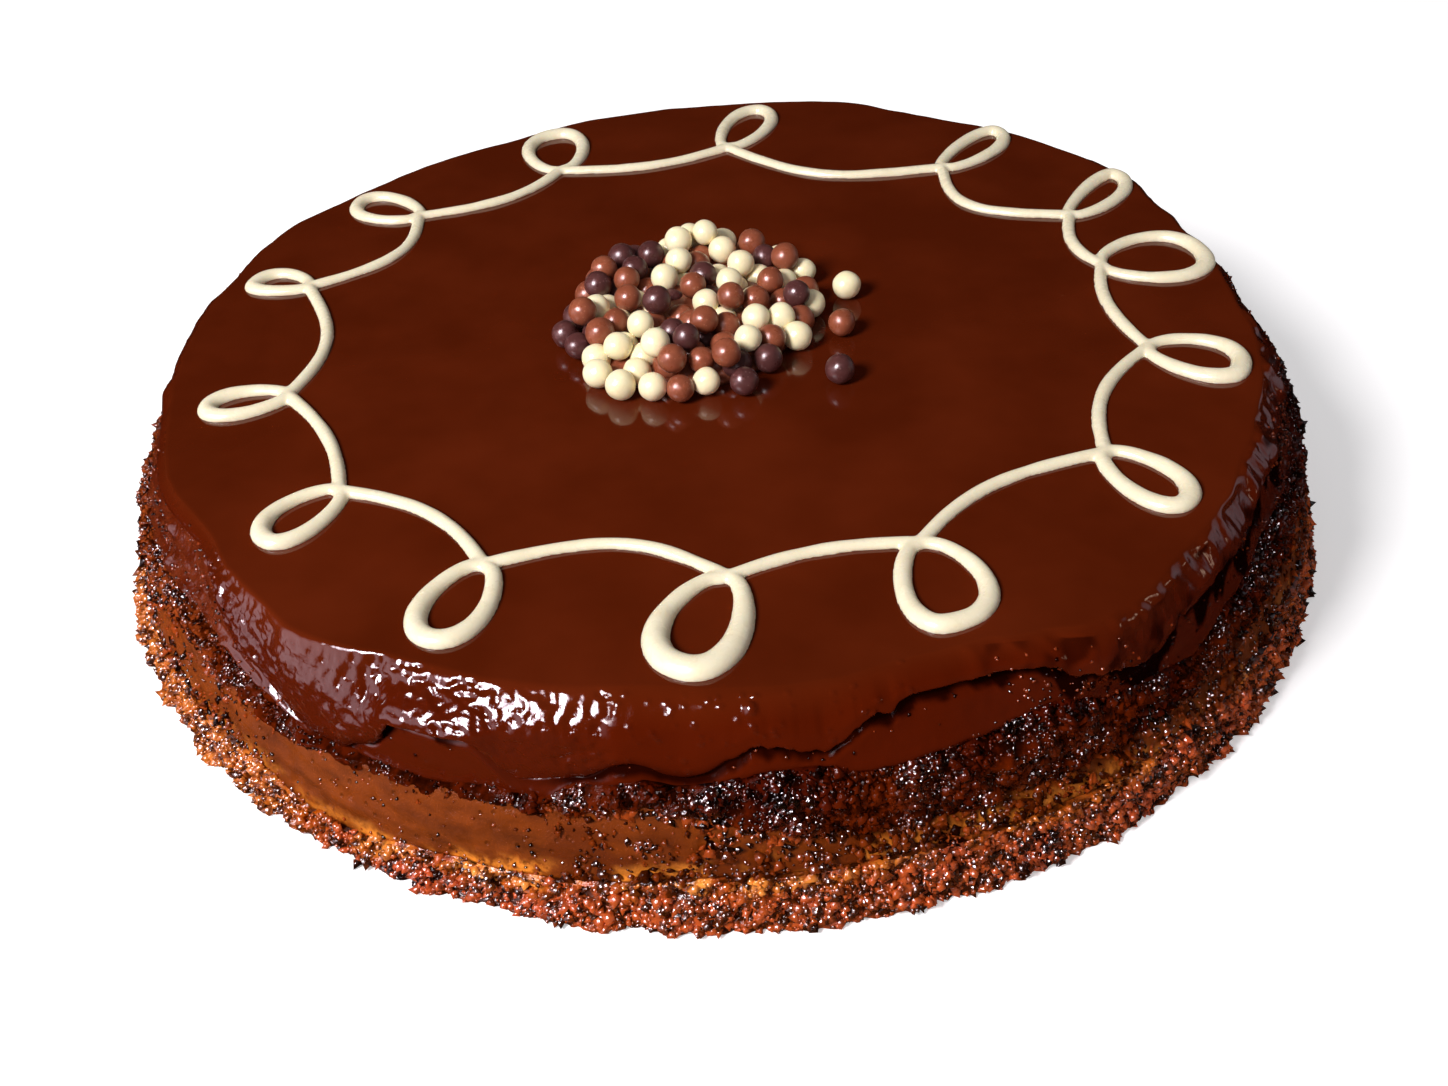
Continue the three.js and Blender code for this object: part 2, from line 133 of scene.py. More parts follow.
def seeded_draws(seed: int) -> Callable[[], float]:
    """Repeatable random numbers from 0 to 1, the same as the part's own.

    Args:
        seed: Seed of the draws.

    Returns:
        Function that draws the next number.
    """
    mask = 0xFFFFFFFF
    state = seed

    def draw() -> float:
        """Draws the next number.

        Returns:
            The number.
        """
        nonlocal state
        state = (state + 0x6D2B79F5) & mask
        mixed = ((state ^ (state >> 15)) * (state | 1)) & mask
        mixed ^= (mixed + (((mixed ^ (mixed >> 7)) * (mixed | 61)) & mask)) & mask
        return ((mixed ^ (mixed >> 14)) & mask) / 2**32

    return draw


class Grain:
    """Smooth random field in space, for relief that is the same on every run."""

    cells = 256
    gain = 1.6

    def __init__(self, seed: int) -> None:
        """Draws the field's order and directions.

        Args:
            seed: Seed of the draws.
        """
        draws = np.random.default_rng(seed)
        self.order = np.tile(draws.permutation(self.cells), 2)
        ways = draws.normal(size=(self.cells, 3))
        self.ways = ways / np.linalg.norm(ways, axis=1, keepdims=True)

    def at(self, points: Array, size: float | Triple) -> Array:
        """Field at points, about -1 to 1.

        Args:
            points: Places, one row each.
            size: Size of a bump, alike in all directions or one for each axis.

        Returns:
            One value for each point.
        """
        scaled = points / np.asarray(size, dtype=float)
        cell = np.floor(scaled).astype(int)
        inside = scaled - cell
        blend = inside**3 * (inside * (inside * 6 - 15) + 10)
        cell %= self.cells
        total = np.zeros(len(points))
        for corner in np.ndindex(2, 2, 2):
            key = (cell + corner) % self.cells
            pick = self.order[self.order[self.order[key[:, 0]] + key[:, 1]] + key[:, 2]]
            slope = np.einsum("ij,ij->i", self.ways[pick], inside - corner)
            weight = np.prod(np.where(corner, blend, 1 - blend), axis=1)
            total += slope * weight
        return total * self.gain


@dataclass(frozen=True)
class Relief:
    """Bumps of one height and size, with ever finer ones on them, each half as large and half as high."""

    height: float
    size: float | Triple
    seed: int
    layers: int = 1
    shift: float = 17

    def at(self, points: Array) -> Array:
        """Rise of the bumps at points.

        Args:
            points: Places, one row each.

        Returns:
            One rise for each point.
        """
        grain = Grain(self.seed)
        size = np.asarray(self.size)
        layers = (grain.at(points + self.shift * n, size / 2**n) / 2**n for n in range(self.layers))
        return self.height * sum(layers)


@dataclass(frozen=True)
class CakeForm:
    """Shape of the whole cake that its layers share, as in the part's source."""

    top_height: float = 43
    tilt: float = 2.6
    lean: float = -2
    foot_radius: float = 130.3
    foot_ovality: float = 0.9
    foot_long_axis: float = 222
    base_middle: float = 9
    base_top_radius: float = 127
    base_edge: Rows = (
        (0, 9), (90, 9), (180, 9.5), (205, 11), (226, 10), (234, 5.5), (239, 5.5), (244, 8), (258, 8.4),
        (268, 10.2), (281, 10.5), (292, 10), (302, 8.4), (320, 8), (340, 8.5),
    )
    mousse_middle: float = 20
    mousse_edge: Rows = (
        (0, 18), (45, 20), (90, 18), (135, 21), (180, 22.5), (205, 25), (215, 24.5), (224, 21.5), (231, 18),
        (237, 20), (245, 20.5), (252, 21.3), (257, 21.3), (264, 24.5), (268, 23), (274, 17.8), (279, 15.5),
        (286, 14), (310, 13.5), (325, 15), (345, 17.5),
    )
    lip_edge: Rows = (
        (5, 35), (20, 33), (40, 35), (62, 31), (85, 35), (105, 32), (125, 28), (140, 34), (160, 36),
        (182, 38.5), (212, 38.5), (224, 33), (236, 23), (240, 28), (245, 37), (250, 36), (254, 26),
        (258, 27.5), (263, 31.5), (267, 28.5), (274, 35), (278, 33), (282, 37.6), (286, 39.5), (295, 39.5),
        (301, 35), (307, 31), (311, 34), (318, 36), (323, 35), (328, 38.5), (345, 36),
    )
    coat_edge: Rows = (
        (10, 27), (30, 24), (55, 27), (80, 25), (110, 27), (125, 24), (150, 27), (180, 27), (205, 29.5),
        (220, 29), (228, 25.5), (235, 21.5), (246, 22), (251, 23.8), (255, 22.6), (259, 26.7), (264, 28.3),
        (267, 26.9), (274, 29.7), (278, 29.1), (282, 26.4), (290, 27.6), (297, 29.5), (306, 23),
        (314, 20.5), (320, 24.5), (328, 28), (340, 27),
    )
    rim: Rows = (
        (0, 110.7), (15, 111.4), (22, 112), (30, 115), (47, 114.7), (60, 113.8), (73, 116.3), (90, 113.8),
        (105, 113.2), (118, 111.3), (130, 112.5), (140, 113.4), (152, 116), (165, 114.2), (178, 113.5),
        (192, 113.8), (205, 115.5), (214, 114), (222, 116), (234, 119.5), (243, 116.5), (252, 117.2),
        (262, 116.4), (272, 117.3), (280, 116.6), (286, 115.8), (292, 116), (297, 118.6), (301, 120.8),
        (306, 120.8), (314, 118), (322, 116.5), (330, 114.2), (342, 113.5), (352, 112.3),
    )
    bend: Rows = (
        (0, 4), (40, 5), (140, 5), (165, 2.4), (214, 2.4), (228, 6), (238, 10), (262, 10), (270, 7.5),
        (280, 4.5), (330, 4),
    )
    bend_from: float = 25
    bend_to: float = 75
    coat_foot_radius: float = 121.7
    coat_foot_height: float = 25
    lip_over_coat: float = 1.4
    lip_under_bend: float = 0.8
    closed: Rows = ((226, 0), (233, 1), (256, 1), (261, 0))

    @property
    def slope(self) -> float:
        """Rise of the tilted top along x."""
        return math.tan(math.radians(self.tilt))

    def place(self, radius: Number, height: Number, angle: Number) -> Array:
        """Points of a layer at heights that follow the tilt of the cake's top.

        Args:
            radius: Distances from the layer's middle.
            height: Heights above the underside before the tilt.
            angle: Angles in radians.

        Returns:
            One point for each angle.
        """
        x = self.lean * height / self.top_height + radius * np.cos(angle)
        y = radius * np.sin(angle)
        z = height + self.slope * x
        return np.stack(np.broadcast_arrays(x, y, z), axis=-1)

    def pole(self, height: float) -> Array:
        """Middle point of a layer at a height."""
        return self.place(0.0, height, 0.0)

    def foot(self, angle: Array) -> Array:
        """Points of the outline on the table."""
        oval = np.cos(2 * (angle - math.radians(self.foot_long_axis)))
        return level_ring(self.foot_radius + self.foot_ovality * oval, angle)

    def bend_point(self, slope: Number, angle: Array) -> tuple[Array, Array]:
        """Radius and height where the glaze has turned down from the rim to a slope.

        Args:
            slope: Slope below level in radians.
            angle: Angles in radians.

        Returns:
            The radii and the heights.
        """
        first = math.radians(self.bend_from)
        roundness = around(self.bend, angle)
        radius = around(self.rim, angle) + roundness * (np.sin(slope) - math.sin(first))
        height = self.top_height - roundness * (math.cos(first) - np.cos(slope))
        return radius, height

    def bend_end(self, angle: Array) -> tuple[Array, Array]:
        """Radius and height where the bend meets the wall."""
        return self.bend_point(math.radians(self.bend_to), angle)

    def coat_radius(self, height: Array, angle: Array) -> Array:
        """Radius of the glaze's thin coat, from the bend down to its foot.

        Args:
            height: Heights before the tilt.
            angle: Angles in radians.

        Returns:
            One radius for each angle.
        """
        end_radius, end_height = self.bend_end(angle)
        share = (end_height - height) / (end_height - self.coat_foot_height)
        return end_radius + (self.coat_foot_radius - end_radius) * share

    def on_top(self, x: Number, y: Number, rise: Number) -> Array:
        """Points on the tilted top.

        Args:
            x: Places along the tilt.
            y: Places across it.
            rise: Rises square to the top.

        Returns:
            One point for each place.
        """
        tilt = math.radians(self.tilt)
        along = x * math.cos(tilt) - rise * math.sin(tilt)
        up = self.top_height + x * math.sin(tilt) + rise * math.cos(tilt)
        return np.stack(np.broadcast_arrays(along, y, up), axis=-1)

    def bend_drop(self, x: Array, y: Array) -> Array:
        """How far the glaze has dropped below the flat top at a place past the rim.

        Args:
            x: Places along the tilt.
            y: Places across it.

        Returns:
            One drop for each place.
        """
        angle = np.arctan2(y, x - self.lean)
        past = np.maximum(np.hypot(x - self.lean, y) - around(self.rim, angle), 0)
        sine = math.sin(math.radians(self.bend_from)) + past / around(self.bend, angle)
        slope = np.arcsin(np.minimum(sine, math.sin(math.radians(self.bend_to))))
        return self.top_height - self.bend_point(slope, angle)[1]


FORM = CakeForm()


# Node trees

class Wiring:
    """Adds the nodes of one tree and joins them."""

    def __init__(self, tree: bpy.types.NodeTree) -> None:
        """Starts on an empty tree."""
        self.tree = tree
        tree.nodes.clear()

    def add(self, kind: str, inputs: dict[Any, Any] | None = None, **settings: Any) -> bpy.types.Node:
        """One node with its settings and inputs.

        Args:
            kind: Node type.
            inputs: Input names or numbers with the value or the socket that feeds them.
            **settings: Properties of the node.

        Returns:
            The new node.
        """
        node = self.tree.nodes.new(kind)
        for name, value in settings.items():
            setattr(node, name, value)
        for key, value in (inputs or {}).items():
            self.feed(node.inputs[key], value)
        return node

    def feed(self, socket: Socket, value: Any) -> None:
        """Feeds one input.

        Args:
            socket: The input.
            value: Its value, or the socket that it is joined to.
        """
        if isinstance(value, Socket):
            self.tree.links.new(value, socket)
        else:
            socket.default_value = value

    def math(self, operation: str, first: Any, second: Any = 0.0) -> Socket:
        """Result of one sum."""
        return self.add("ShaderNodeMath", {0: first, 1: second}, operation=operation).outputs[0]

    def mix(self, share: Any, *colours: Any) -> Socket:
        """Blend of two colours."""
        first, second = ((*value, 1) if isinstance(value, tuple) else value for value in colours)
        return self.add("ShaderNodeMix", {0: share, 6: first, 7: second}, data_type="RGBA").outputs[2]


class ShaderWiring(Wiring):
    """Nodes of one material, with the textures that the finishes share."""

    def __init__(self, name: str) -> None:
        """Starts the material with an output and the piece's own coordinates.

        Args:
            name: Name of the material.
        """
        self.material = bpy.data.materials.new(name)
        self.material.use_nodes = True
        super().__init__(self.material.node_tree)
        self.output = self.add("ShaderNodeOutputMaterial")
        self.coords = self.add("ShaderNodeTexCoord").outputs["Object"]

    def noise(
        self, size: float, detail: float = 2, stretch: Triple | None = None, swirl: float = 0
    ) -> Socket:
        """Cloudy or swirled pattern.

        Args:
            size: Size of its bumps in millimetres.
            detail: How many finer layers lie on them.
            stretch: Scale along each axis.
            swirl: How far the pattern is swirled.

        Returns:
            Strength of the pattern, from 0 to 1.
        """
        vector = self.coords
        if stretch:
            vector = self.add("ShaderNodeMapping", {0: vector, "Scale": stretch}).outputs[0]
        inputs = {"Vector": vector, "Scale": 1 / (size * MM), "Detail": detail}
        return self.add("ShaderNodeTexNoise", {**inputs, "Roughness": 0.55, "Distortion": swirl}).outputs[0]

    def cells(self, size: float) -> Socket:
        """Distance to scattered points spaced by a size in millimetres."""
        inputs = {"Vector": self.coords, "Scale": 1 / (size * MM), "Randomness": 1.0}
        return self.add("ShaderNodeTexVoronoi", inputs).outputs["Distance"]

    def attribute(self, name: str) -> Socket:
        """Number that the mesh holds for each point."""
        return self.add("ShaderNodeAttribute", attribute_name=name).outputs["Fac"]

    def spread(self, value: Any, low: float, high: float, start: float, end: float) -> Socket:
        """Value moved from one span to another and held inside it."""
        inputs = {"Value": value, 1: low, 2: high, 3: start, 4: end}
        return self.add("ShaderNodeMapRange", inputs).outputs[0]

    def ramp(self, value: Any, *stops: tuple[float, Triple]) -> Socket:
        """Colours by a value.

        Args:
            value: Value from 0 to 1.
            *stops: Values with their colours, in rising order.

        Returns:
            The colour.
        """
        node = self.add("ShaderNodeValToRGB", {0: value})
        for element, (position, colour) in zip(node.color_ramp.elements, stops):
            element.position = position
            element.color = (*colour, 1)
        return node.outputs[0]

    def bump(self, height: Any, depth: float, strength: Any, under: Socket | None = None) -> Socket:
        """Fine relief.

        Args:
            height: Pattern of the relief.
            depth: Depth in millimetres.
            strength: Share of the relief that shows.
            under: Relief that it lies on.

        Returns:
            The relief.
        """
        inputs = {"Height": height, "Distance": depth * MM, "Strength": strength}
        if under is not None:
            inputs["Normal"] = under
        return self.add("ShaderNodeBump", inputs).outputs[0]

    def surface(self, **inputs: Any) -> Material:
        """Ends the material in one shader.

        Args:
            **inputs: Inputs of the shader, with _ for the spaces in their names.

        Returns:
            The finished material.
        """
        named = {name.replace("_", " "): value for name, value in inputs.items()}
        shader = self.add("ShaderNodeBsdfPrincipled", named)
        self.feed(self.output.inputs[0], shader.outputs[0])
        return self.material


class NodeRecipe:
    """Geometry Nodes tree with named inputs, run once on a piece."""

    def __init__(self, name: str, **kinds: str) -> None:
        """Starts the tree.

        Args:
            name: Name of the tree.
            **kinds: Kinds of its inputs by name, besides its geometry and material.
        """
        self.tree = bpy.data.node_groups.new(name, "GeometryNodeTree")
        kinds = {"Geometry": "Geometry", **kinds, "Material": "Material"}
        self.sockets = {label.replace("_", " "): self.socket(label, kind) for label, kind in kinds.items()}
        self.socket("Geometry", "Geometry", "OUTPUT")
        self.wiring = Wiring(self.tree)
        self.given = self.wiring.add("NodeGroupInput").outputs

    def socket(self, label: str, kind: str, way: str = "INPUT") -> bpy.types.NodeTreeInterfaceSocket:
        """Adds one socket, with _ for the spaces in its name."""
        name = label.replace("_", " ")
        return self.tree.interface.new_socket(name, in_out=way, socket_type=f"NodeSocket{kind}")

    def chance(self, low: float, high: float, seed: Any) -> Socket:
        """Random number for each point."""
        return self.wiring.add("FunctionNodeRandomValue", {2: low, 3: high, "Seed": seed}).outputs[1]

    def turn(self, seed: Any) -> Socket:
        """Random turn for each point."""
        inputs = {0: (0.0, 0.0, 0.0), 1: (TAU, TAU, TAU), "Seed": seed}
        return self.wiring.add("FunctionNodeRandomValue", inputs, data_type="FLOAT_VECTOR").outputs[0]

    def end(self, geometry: Socket) -> NodeRecipe:
        """Ends the tree: instances made real, smooth, with the material.

        Args:
            geometry: What the tree has made.

        Returns:
            The finished recipe.
        """
        for kind in ("GeometryNodeRealizeInstances", "GeometryNodeSetShadeSmooth"):
            geometry = self.wiring.add(kind, {0: geometry}).outputs[0]
        inputs = {"Geometry": geometry, "Material": self.given["Material"]}
        dressed = self.wiring.add("GeometryNodeSetMaterial", inputs)
        self.wiring.add("NodeGroupOutput", {0: dressed.outputs[0]})
        return self

    def run(self, piece: Piece, values: dict[str, Any]) -> Piece:
        """Applies the tree to a piece.

        Args:
            piece: Piece that holds the starting mesh.
            values: Inputs by name.

        Returns:
            The same piece with the tree's result as plain mesh.
        """
        modifier = piece.modifiers.new(self.tree.name, "NODES")
        modifier.node_group = self.tree
        for name, value in values.items():
            modifier[self.sockets[name].identifier] = value
        return settle(piece)


# Finishes

@dataclass(frozen=True)
class GlazeFinish:
    """Poured chocolate glaze: mirror smooth on top, smeared and pitted down the side, where its colour is
    darker as painted shade.
    """

    name: str = "poured_glaze"
    deep: Triple = (0.068, 0.0079, 0.0012)
    light: Triple = (0.092, 0.0116, 0.0023)
    # Colour that the glaze is mixed towards from the bend down: painted shade on the side.
    coat: Triple = (0.06, 0.0052, 0.0005)
    film: Triple = (0.12, 0.019, 0.005)
    # Near-black colour mixed in where the gap share is set: painted shade under the lip's edge and in
    # patches between its shards.
    shade: Triple = (0.004, 0.0003, 0.0001)

    def material(self) -> Material:
        """Builds the glaze's nodes.

        Returns:
            The new material.
        """
        wiring = ShaderWiring(self.name)
        worn, gap, coat = (wiring.attribute(name) for name in ("worn", "gap", "coat"))
        mottle = wiring.ramp(wiring.noise(26, 3), (0.35, self.deep), (0.7, self.light))
        streaks = wiring.spread(wiring.noise(5, 3), 0.4, 0.6, 0.2, 1)
        thin = wiring.math("MULTIPLY", wiring.attribute("film"), streaks)
        # The coat share darkens the side towards the coat colour: painted shade.
        filmed = wiring.mix(thin, wiring.mix(coat, mottle, self.coat), self.film)
        fine = wiring.bump(wiring.noise(1.3, 2), 0.14, worn)
        dull = wiring.spread(wiring.noise(9, 4), 0.3, 0.75, 0.05, 0.11)
        matt = wiring.math("MAXIMUM", wiring.attribute("matt"), gap)
        # The gap share mixes the colour towards near black and drops the gloss: painted shade under the lip
        # and between shards.
        return wiring.surface(
            Base_Color=wiring.mix(gap, filmed, self.shade),
            Roughness=wiring.math("ADD", dull, wiring.math("MULTIPLY", coat, 0.05)),
            Normal=wiring.bump(wiring.noise(3.5, 3, (1, 1, 0.5)), 0.3, worn, fine),
            IOR=1.46,
            Specular_IOR_Level=wiring.spread(matt, 0, 0.8, 0.5, 0.02),
        )


@dataclass(frozen=True)
class MousseFinish:
    """Mousse cut with a warm knife: dull and smeared, with small pits darkened as painted shade, an amber
    tint that is partly staining and partly painted warm light, and spots of painted gold reflection.
    """

    name: str = "cut_mousse"
    deep: Triple = (0.08, 0.0145, 0.0012)
    light: Triple = (0.17, 0.031, 0.002)
    amber: Triple = (0.08, 0.0115, 0.0004)
    # Colour of the painted gold reflection near the mousse's foot.
    golden: Triple = (0.62, 0.19, 0.02)

    def material(self) -> Material:
        """Builds the mousse's nodes.

        Returns:
            The new material.
        """
        wiring = ShaderWiring(self.name)
        body = wiring.ramp(wiring.noise(7, 4, (1, 1, 1.8)), (0.3, self.deep), (0.62, self.light))
        # Amber tint, partly staining and partly painted warm light from below, then spots of painted gold
        # reflection.
        stain_light_tint = wiring.mix(wiring.attribute("amber"), body, self.amber)
        broken = wiring.spread(wiring.noise(2, 3), 0.36, 0.6, 0.1, 1)
        gold_tint = wiring.math("MULTIPLY", wiring.attribute("golden"), broken)
        stain_light_tint = wiring.mix(gold_tint, stain_light_tint, self.golden)
        pits = wiring.spread(wiring.cells(2.6), 0.08, 0.22, 0, 1)
        grit = wiring.bump(wiring.noise(1.8, 3, swirl=2.5), 0.22, 0.8)
        # The pits are mixed towards the deep colour: painted shade in pits that are made only by the bump.
        return wiring.surface(
            Base_Color=wiring.mix(wiring.spread(pits, 0, 1, 0.6, 0), stain_light_tint, self.deep),
            Roughness=wiring.spread(wiring.noise(4, 3), 0.3, 0.7, 0.28, 0.5),
            Normal=wiring.bump(pits, 0.35, 0.8, grit),
            Specular_IOR_Level=0.06,
        )


@dataclass(frozen=True)
class SpongeFinish:
    """Moist chocolate sponge: dark at low tone, which on the layers follows the crags' depth as painted
    shade and on the crumbs is drawn at random; amber where the amber share is set, partly staining and
    partly painted warm light; golden past a share of one, painted gold reflection on the ledge and paler
    colour on the left.
    """

    name: str
    # Dark end of the ramp: on the layers it falls in the deep crags as painted shade, on the crumbs it
    # comes at random.
    hollow: Triple
    crust: Triple
    amber: Triple
    # Gold tint: painted gold reflection on the ledge, and paler colour on the left.
    golden: Triple
    dark_until: float = 0.42
    rough_low: float = 0.07
    rough_high: float = 0.2
    gloss: float = 0.8
    dry: float = 0.04

    def material(self, shine: float = 1.0) -> Material:
        """Builds the sponge's nodes; points and crumbs carry a tone and an amber share.

        Args:
            shine: Share of the finish's gloss.

        Returns:
            The new material.
        """
        wiring = ShaderWiring(self.name)
        blotch = wiring.spread(wiring.noise(2.4, 3), 0.3, 0.7, -0.3, 0.3)
        tone = wiring.math("ADD", wiring.attribute("tone"), blotch)
        body = wiring.ramp(tone, (self.dark_until, self.hollow), (0.8, self.crust))
        stain_light_zone = wiring.spread(tone, 0.1, 0.8, 0.15, 1)
        # Amber share, partly staining and partly painted warm light; past one it turns to the gold tint:
        # painted gold reflection on the ledge and paler colour on the left.
        stain_light_share = wiring.attribute("amber")
        share = wiring.math("MULTIPLY", wiring.spread(stain_light_share, 0, 1, 0, 1), stain_light_zone)
        stain_light_tint = wiring.mix(share, body, self.amber)
        gold_tint = wiring.ramp(tone, (self.dark_until, self.hollow), (0.7, self.golden))
        broken = wiring.spread(wiring.noise(2, 3), 0.36, 0.6, 0.3, 1)
        share = wiring.math("MULTIPLY", wiring.spread(stain_light_share, 1, 2, 0, 1), broken)
        wet = wiring.noise(9, 3)
        return wiring.surface(
            Base_Color=wiring.mix(share, stain_light_tint, gold_tint),
            Roughness=wiring.spread(wiring.noise(1.6, 2), 0.35, 0.65, self.rough_low, self.rough_high),
            Normal=wiring.bump(wiring.noise(0.7, 2), 0.2, 0.9),
            IOR=1.6,
            Specular_IOR_Level=wiring.spread(wet, 0.44, 0.58, self.dry * shine, self.gloss * shine),
        )


@dataclass(frozen=True)
class ChocolateFinish:
    """Set chocolate with a soft gloss and faint specks."""

    name: str
    body: Triple
    shade: Triple
    speck: Triple
    speck_share: float
    roughness: float
    glow: float

    def material(self) -> Material:
        """Builds the chocolate's nodes.

        Returns:
            The new material.
        """
        wiring = ShaderWiring(self.name)
        body = wiring.ramp(wiring.noise(3.2, 3), (0.3, self.shade), (0.6, self.body))
        specks = wiring.spread(wiring.cells(1.1), 0.1, 0.2, self.speck_share, 0)
        low, high = self.roughness * 0.8, self.roughness * 1.3
        return wiring.surface(
            Base_Color=wiring.mix(specks, body, self.speck),
            Roughness=wiring.spread(wiring.noise(2.1, 2), 0.3, 0.7, low, high),
            Normal=wiring.bump(wiring.noise(1.1, 2), 0.02, 0.6),
            IOR=1.45,
            Subsurface_Weight=self.glow,
            Subsurface_Radius=(1.0, 0.6, 0.3),
            Subsurface_Scale=1.2 * MM,
        )


GLAZE_FINISH = GlazeFinish()
MOUSSE_FINISH = MousseFinish()
BASE_FINISH = SpongeFinish(
    name="soaked_sponge",
    hollow=(0.008, 0.0006, 0.0001),
    crust=(0.46, 0.07, 0.018),
    amber=(0.34, 0.062, 0.002),
    golden=(0.85, 0.29, 0.045),
    dark_until=0.3,
    rough_low=0.1,
    rough_high=0.3,
    gloss=0.9,
    dry=0.45,
)
BELT_FINISH = SpongeFinish(
    name="dark_sponge",
    hollow=(0.002, 0.0002, 0.0001),
    crust=(0.05, 0.0036, 0.0007),
    amber=(0.09, 0.0095, 0.0003),
    golden=(0.36, 0.07, 0.014),
)
CRUMB_FINISH = SpongeFinish(
    name="clinging_crumb",
    hollow=(0.006, 0.0006, 0.0001),
    crust=(0.28, 0.044, 0.007),
    amber=(0.1, 0.0135, 0.0004),
    golden=(0.56, 0.19, 0.025),
    dark_until=0.4,
)
FILM_FINISH = SpongeFinish(
    name="glazed_crumb",
    hollow=(0.01, 0.001, 0.0002),
    crust=(0.2, 0.03, 0.007),
    amber=(0.12, 0.018, 0.0006),
    golden=(0.5, 0.16, 0.02),
)
IVORY_FINISH = ChocolateFinish(
    "ivory_chocolate", (0.77, 0.705, 0.515), (0.74, 0.665, 0.47), (0.81, 0.75, 0.59), 0.2, 0.26, 0.25
)
PEARL_FINISHES = {
    Slot.WHITE: ChocolateFinish(
        "white_pearl", (0.87, 0.78, 0.52), (0.84, 0.73, 0.45), (0.9, 0.84, 0.64), 0.2, 0.3, 0.2
    ),
    Slot.MILK: ChocolateFinish(
        "milk_pearl", (0.245, 0.066, 0.031), (0.185, 0.046, 0.021), (0.40, 0.17, 0.10), 0.5, 0.3, 0.05
    ),
    Slot.DARK: ChocolateFinish(
        "dark_pearl", (0.082, 0.026, 0.024), (0.055, 0.017, 0.016), (0.22, 0.12, 0.11), 0.5, 0.3, 0.0
    ),
}


# Meshes

@dataclass
class PolarSurface:
    """Closed surface from rings of points between an upper and a lower pole."""

    name: str
    rings: list[Array] = field(default_factory=list)
    marks: list[dict[str, Number]] = field(default_factory=list)

    def add(self, ring: Array, **marks: Number) -> None:
        """Adds the next ring down.

        Args:
            ring: Points of the ring.
            **marks: Numbers by name that the finish reads, for all points or one for each, 0 if left out.
        """
        self.rings.append(ring)
        self.marks.append(marks)

    def mesh(self, upper: Array, lower: Array) -> Mesh:
        """Mesh of the surface.

        Args:
            upper: Point that closes it above.
            lower: Point that closes it below.

        Returns:
            The new mesh, in metres.
        """
        count = len(self.rings[0])
        points = np.concatenate([upper[None], *self.rings, lower[None]])
        step = np.arange(count)
        after = (step + 1) % count
        starts = 1 + count * np.arange(len(self.rings) - 1)[:, None]
        corners = [starts + step, starts + count + step, starts + count + after, starts + after]
        quads = np.stack(corners, axis=-1).reshape(-1, 4)
        bottom = 1 + count * (len(self.rings) - 1)
        cap = np.stack([np.zeros(count, int), 1 + step, 1 + after], axis=-1)
        base = np.stack([np.full(count, len(points) - 1), bottom + after, bottom + step], axis=-1)
        mesh = make_mesh(self.name, points, np.concatenate([cap, base]), quads)
        for label in dict.fromkeys(label for marks in self.marks for label in marks):
            rows = [np.broadcast_to(marks.get(label, 0.0), count) for marks in self.marks]
            hold(mesh, label, np.concatenate([rows[0][:1], *rows, rows[-1][:1]]))
        return mesh


def hold(mesh: Mesh, label: str, values: Array) -> None:
    """Lets a mesh hold one named number for each point."""
    mesh.attributes.new(label, "FLOAT", "POINT").data.foreach_set("value", values.astype(np.float32))


def make_mesh(name: str, points: Array, triangles: Array, quads: Array) -> Mesh:
    """Smooth mesh in metres from points in millimetres.

    Args:
        name: Name of the mesh.
        points: One row for each point.
        triangles: Corner numbers of the three-sided faces.
        quads: Corner numbers of the four-sided faces.

    Returns:
        The new mesh.
    """
    mesh = bpy.data.meshes.new(name)
    mesh.vertices.add(len(points))
    mesh.vertices.foreach_set("co", (points * MM).astype(np.float32).ravel())
    loops = np.concatenate([triangles.ravel(), quads.ravel()]).astype(np.int32)
    mesh.loops.add(len(loops))
    mesh.loops.foreach_set("vertex_index", loops)
    first_quad = 3 * len(triangles)
    starts = np.concatenate([np.arange(0, first_quad, 3), first_quad + np.arange(0, 4 * len(quads), 4)])
    mesh.polygons.add(len(starts))
    mesh.polygons.foreach_set("loop_start", starts.astype(np.int32))
    mesh.update(calc_edges=True)
    mesh.validate()
    mesh.shade_smooth()
    return mesh


def add_object(mesh: Mesh, material: Material | None = None) -> Piece:
    """Object of a mesh, at the origin.

    Args:
        mesh: Mesh of the piece.
        material: Its finish, if it has one yet.

    Returns:
        The new object.
    """
    piece = bpy.data.objects.new(mesh.name, mesh)
    bpy.context.scene.collection.objects.link(piece)
    if material:
        mesh.materials.clear()
        mesh.materials.append(material)
    return piece


def settle(piece: Piece) -> Piece:
    """Turns a piece's modifiers into plain mesh and removes them.

    Args:
        piece: Piece with its modifiers.

    Returns:
        The same piece.
    """
    graph = bpy.context.evaluated_depsgraph_get()
    graph.update()
    plain = bpy.data.meshes.new_from_object(piece.evaluated_get(graph), depsgraph=graph)
    old = piece.data
    piece.modifiers.clear()
    piece.data = plain
    plain.name = piece.name
    bpy.data.meshes.remove(old)
    return piece


def hand_over(piece: Piece, slot: Slot, *nodes: str) -> None:
    """Lets a finished piece ride on the cake and reports it.

    Args:
        piece: The finished piece.
        slot: Material slot of the record.
        *nodes: Solids that the piece stands for.
    """
    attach(piece, BODY)
    if nodes:
        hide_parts(*nodes)
    faces = sum(len(face.vertices) - 2 for face in piece.data.polygons)
    stands_for = ", ".join(nodes) or "itself"
    LOG.info("%s: %d triangles, slot %s, for %s", piece.name, faces, slot.value, stands_for)


# Layers

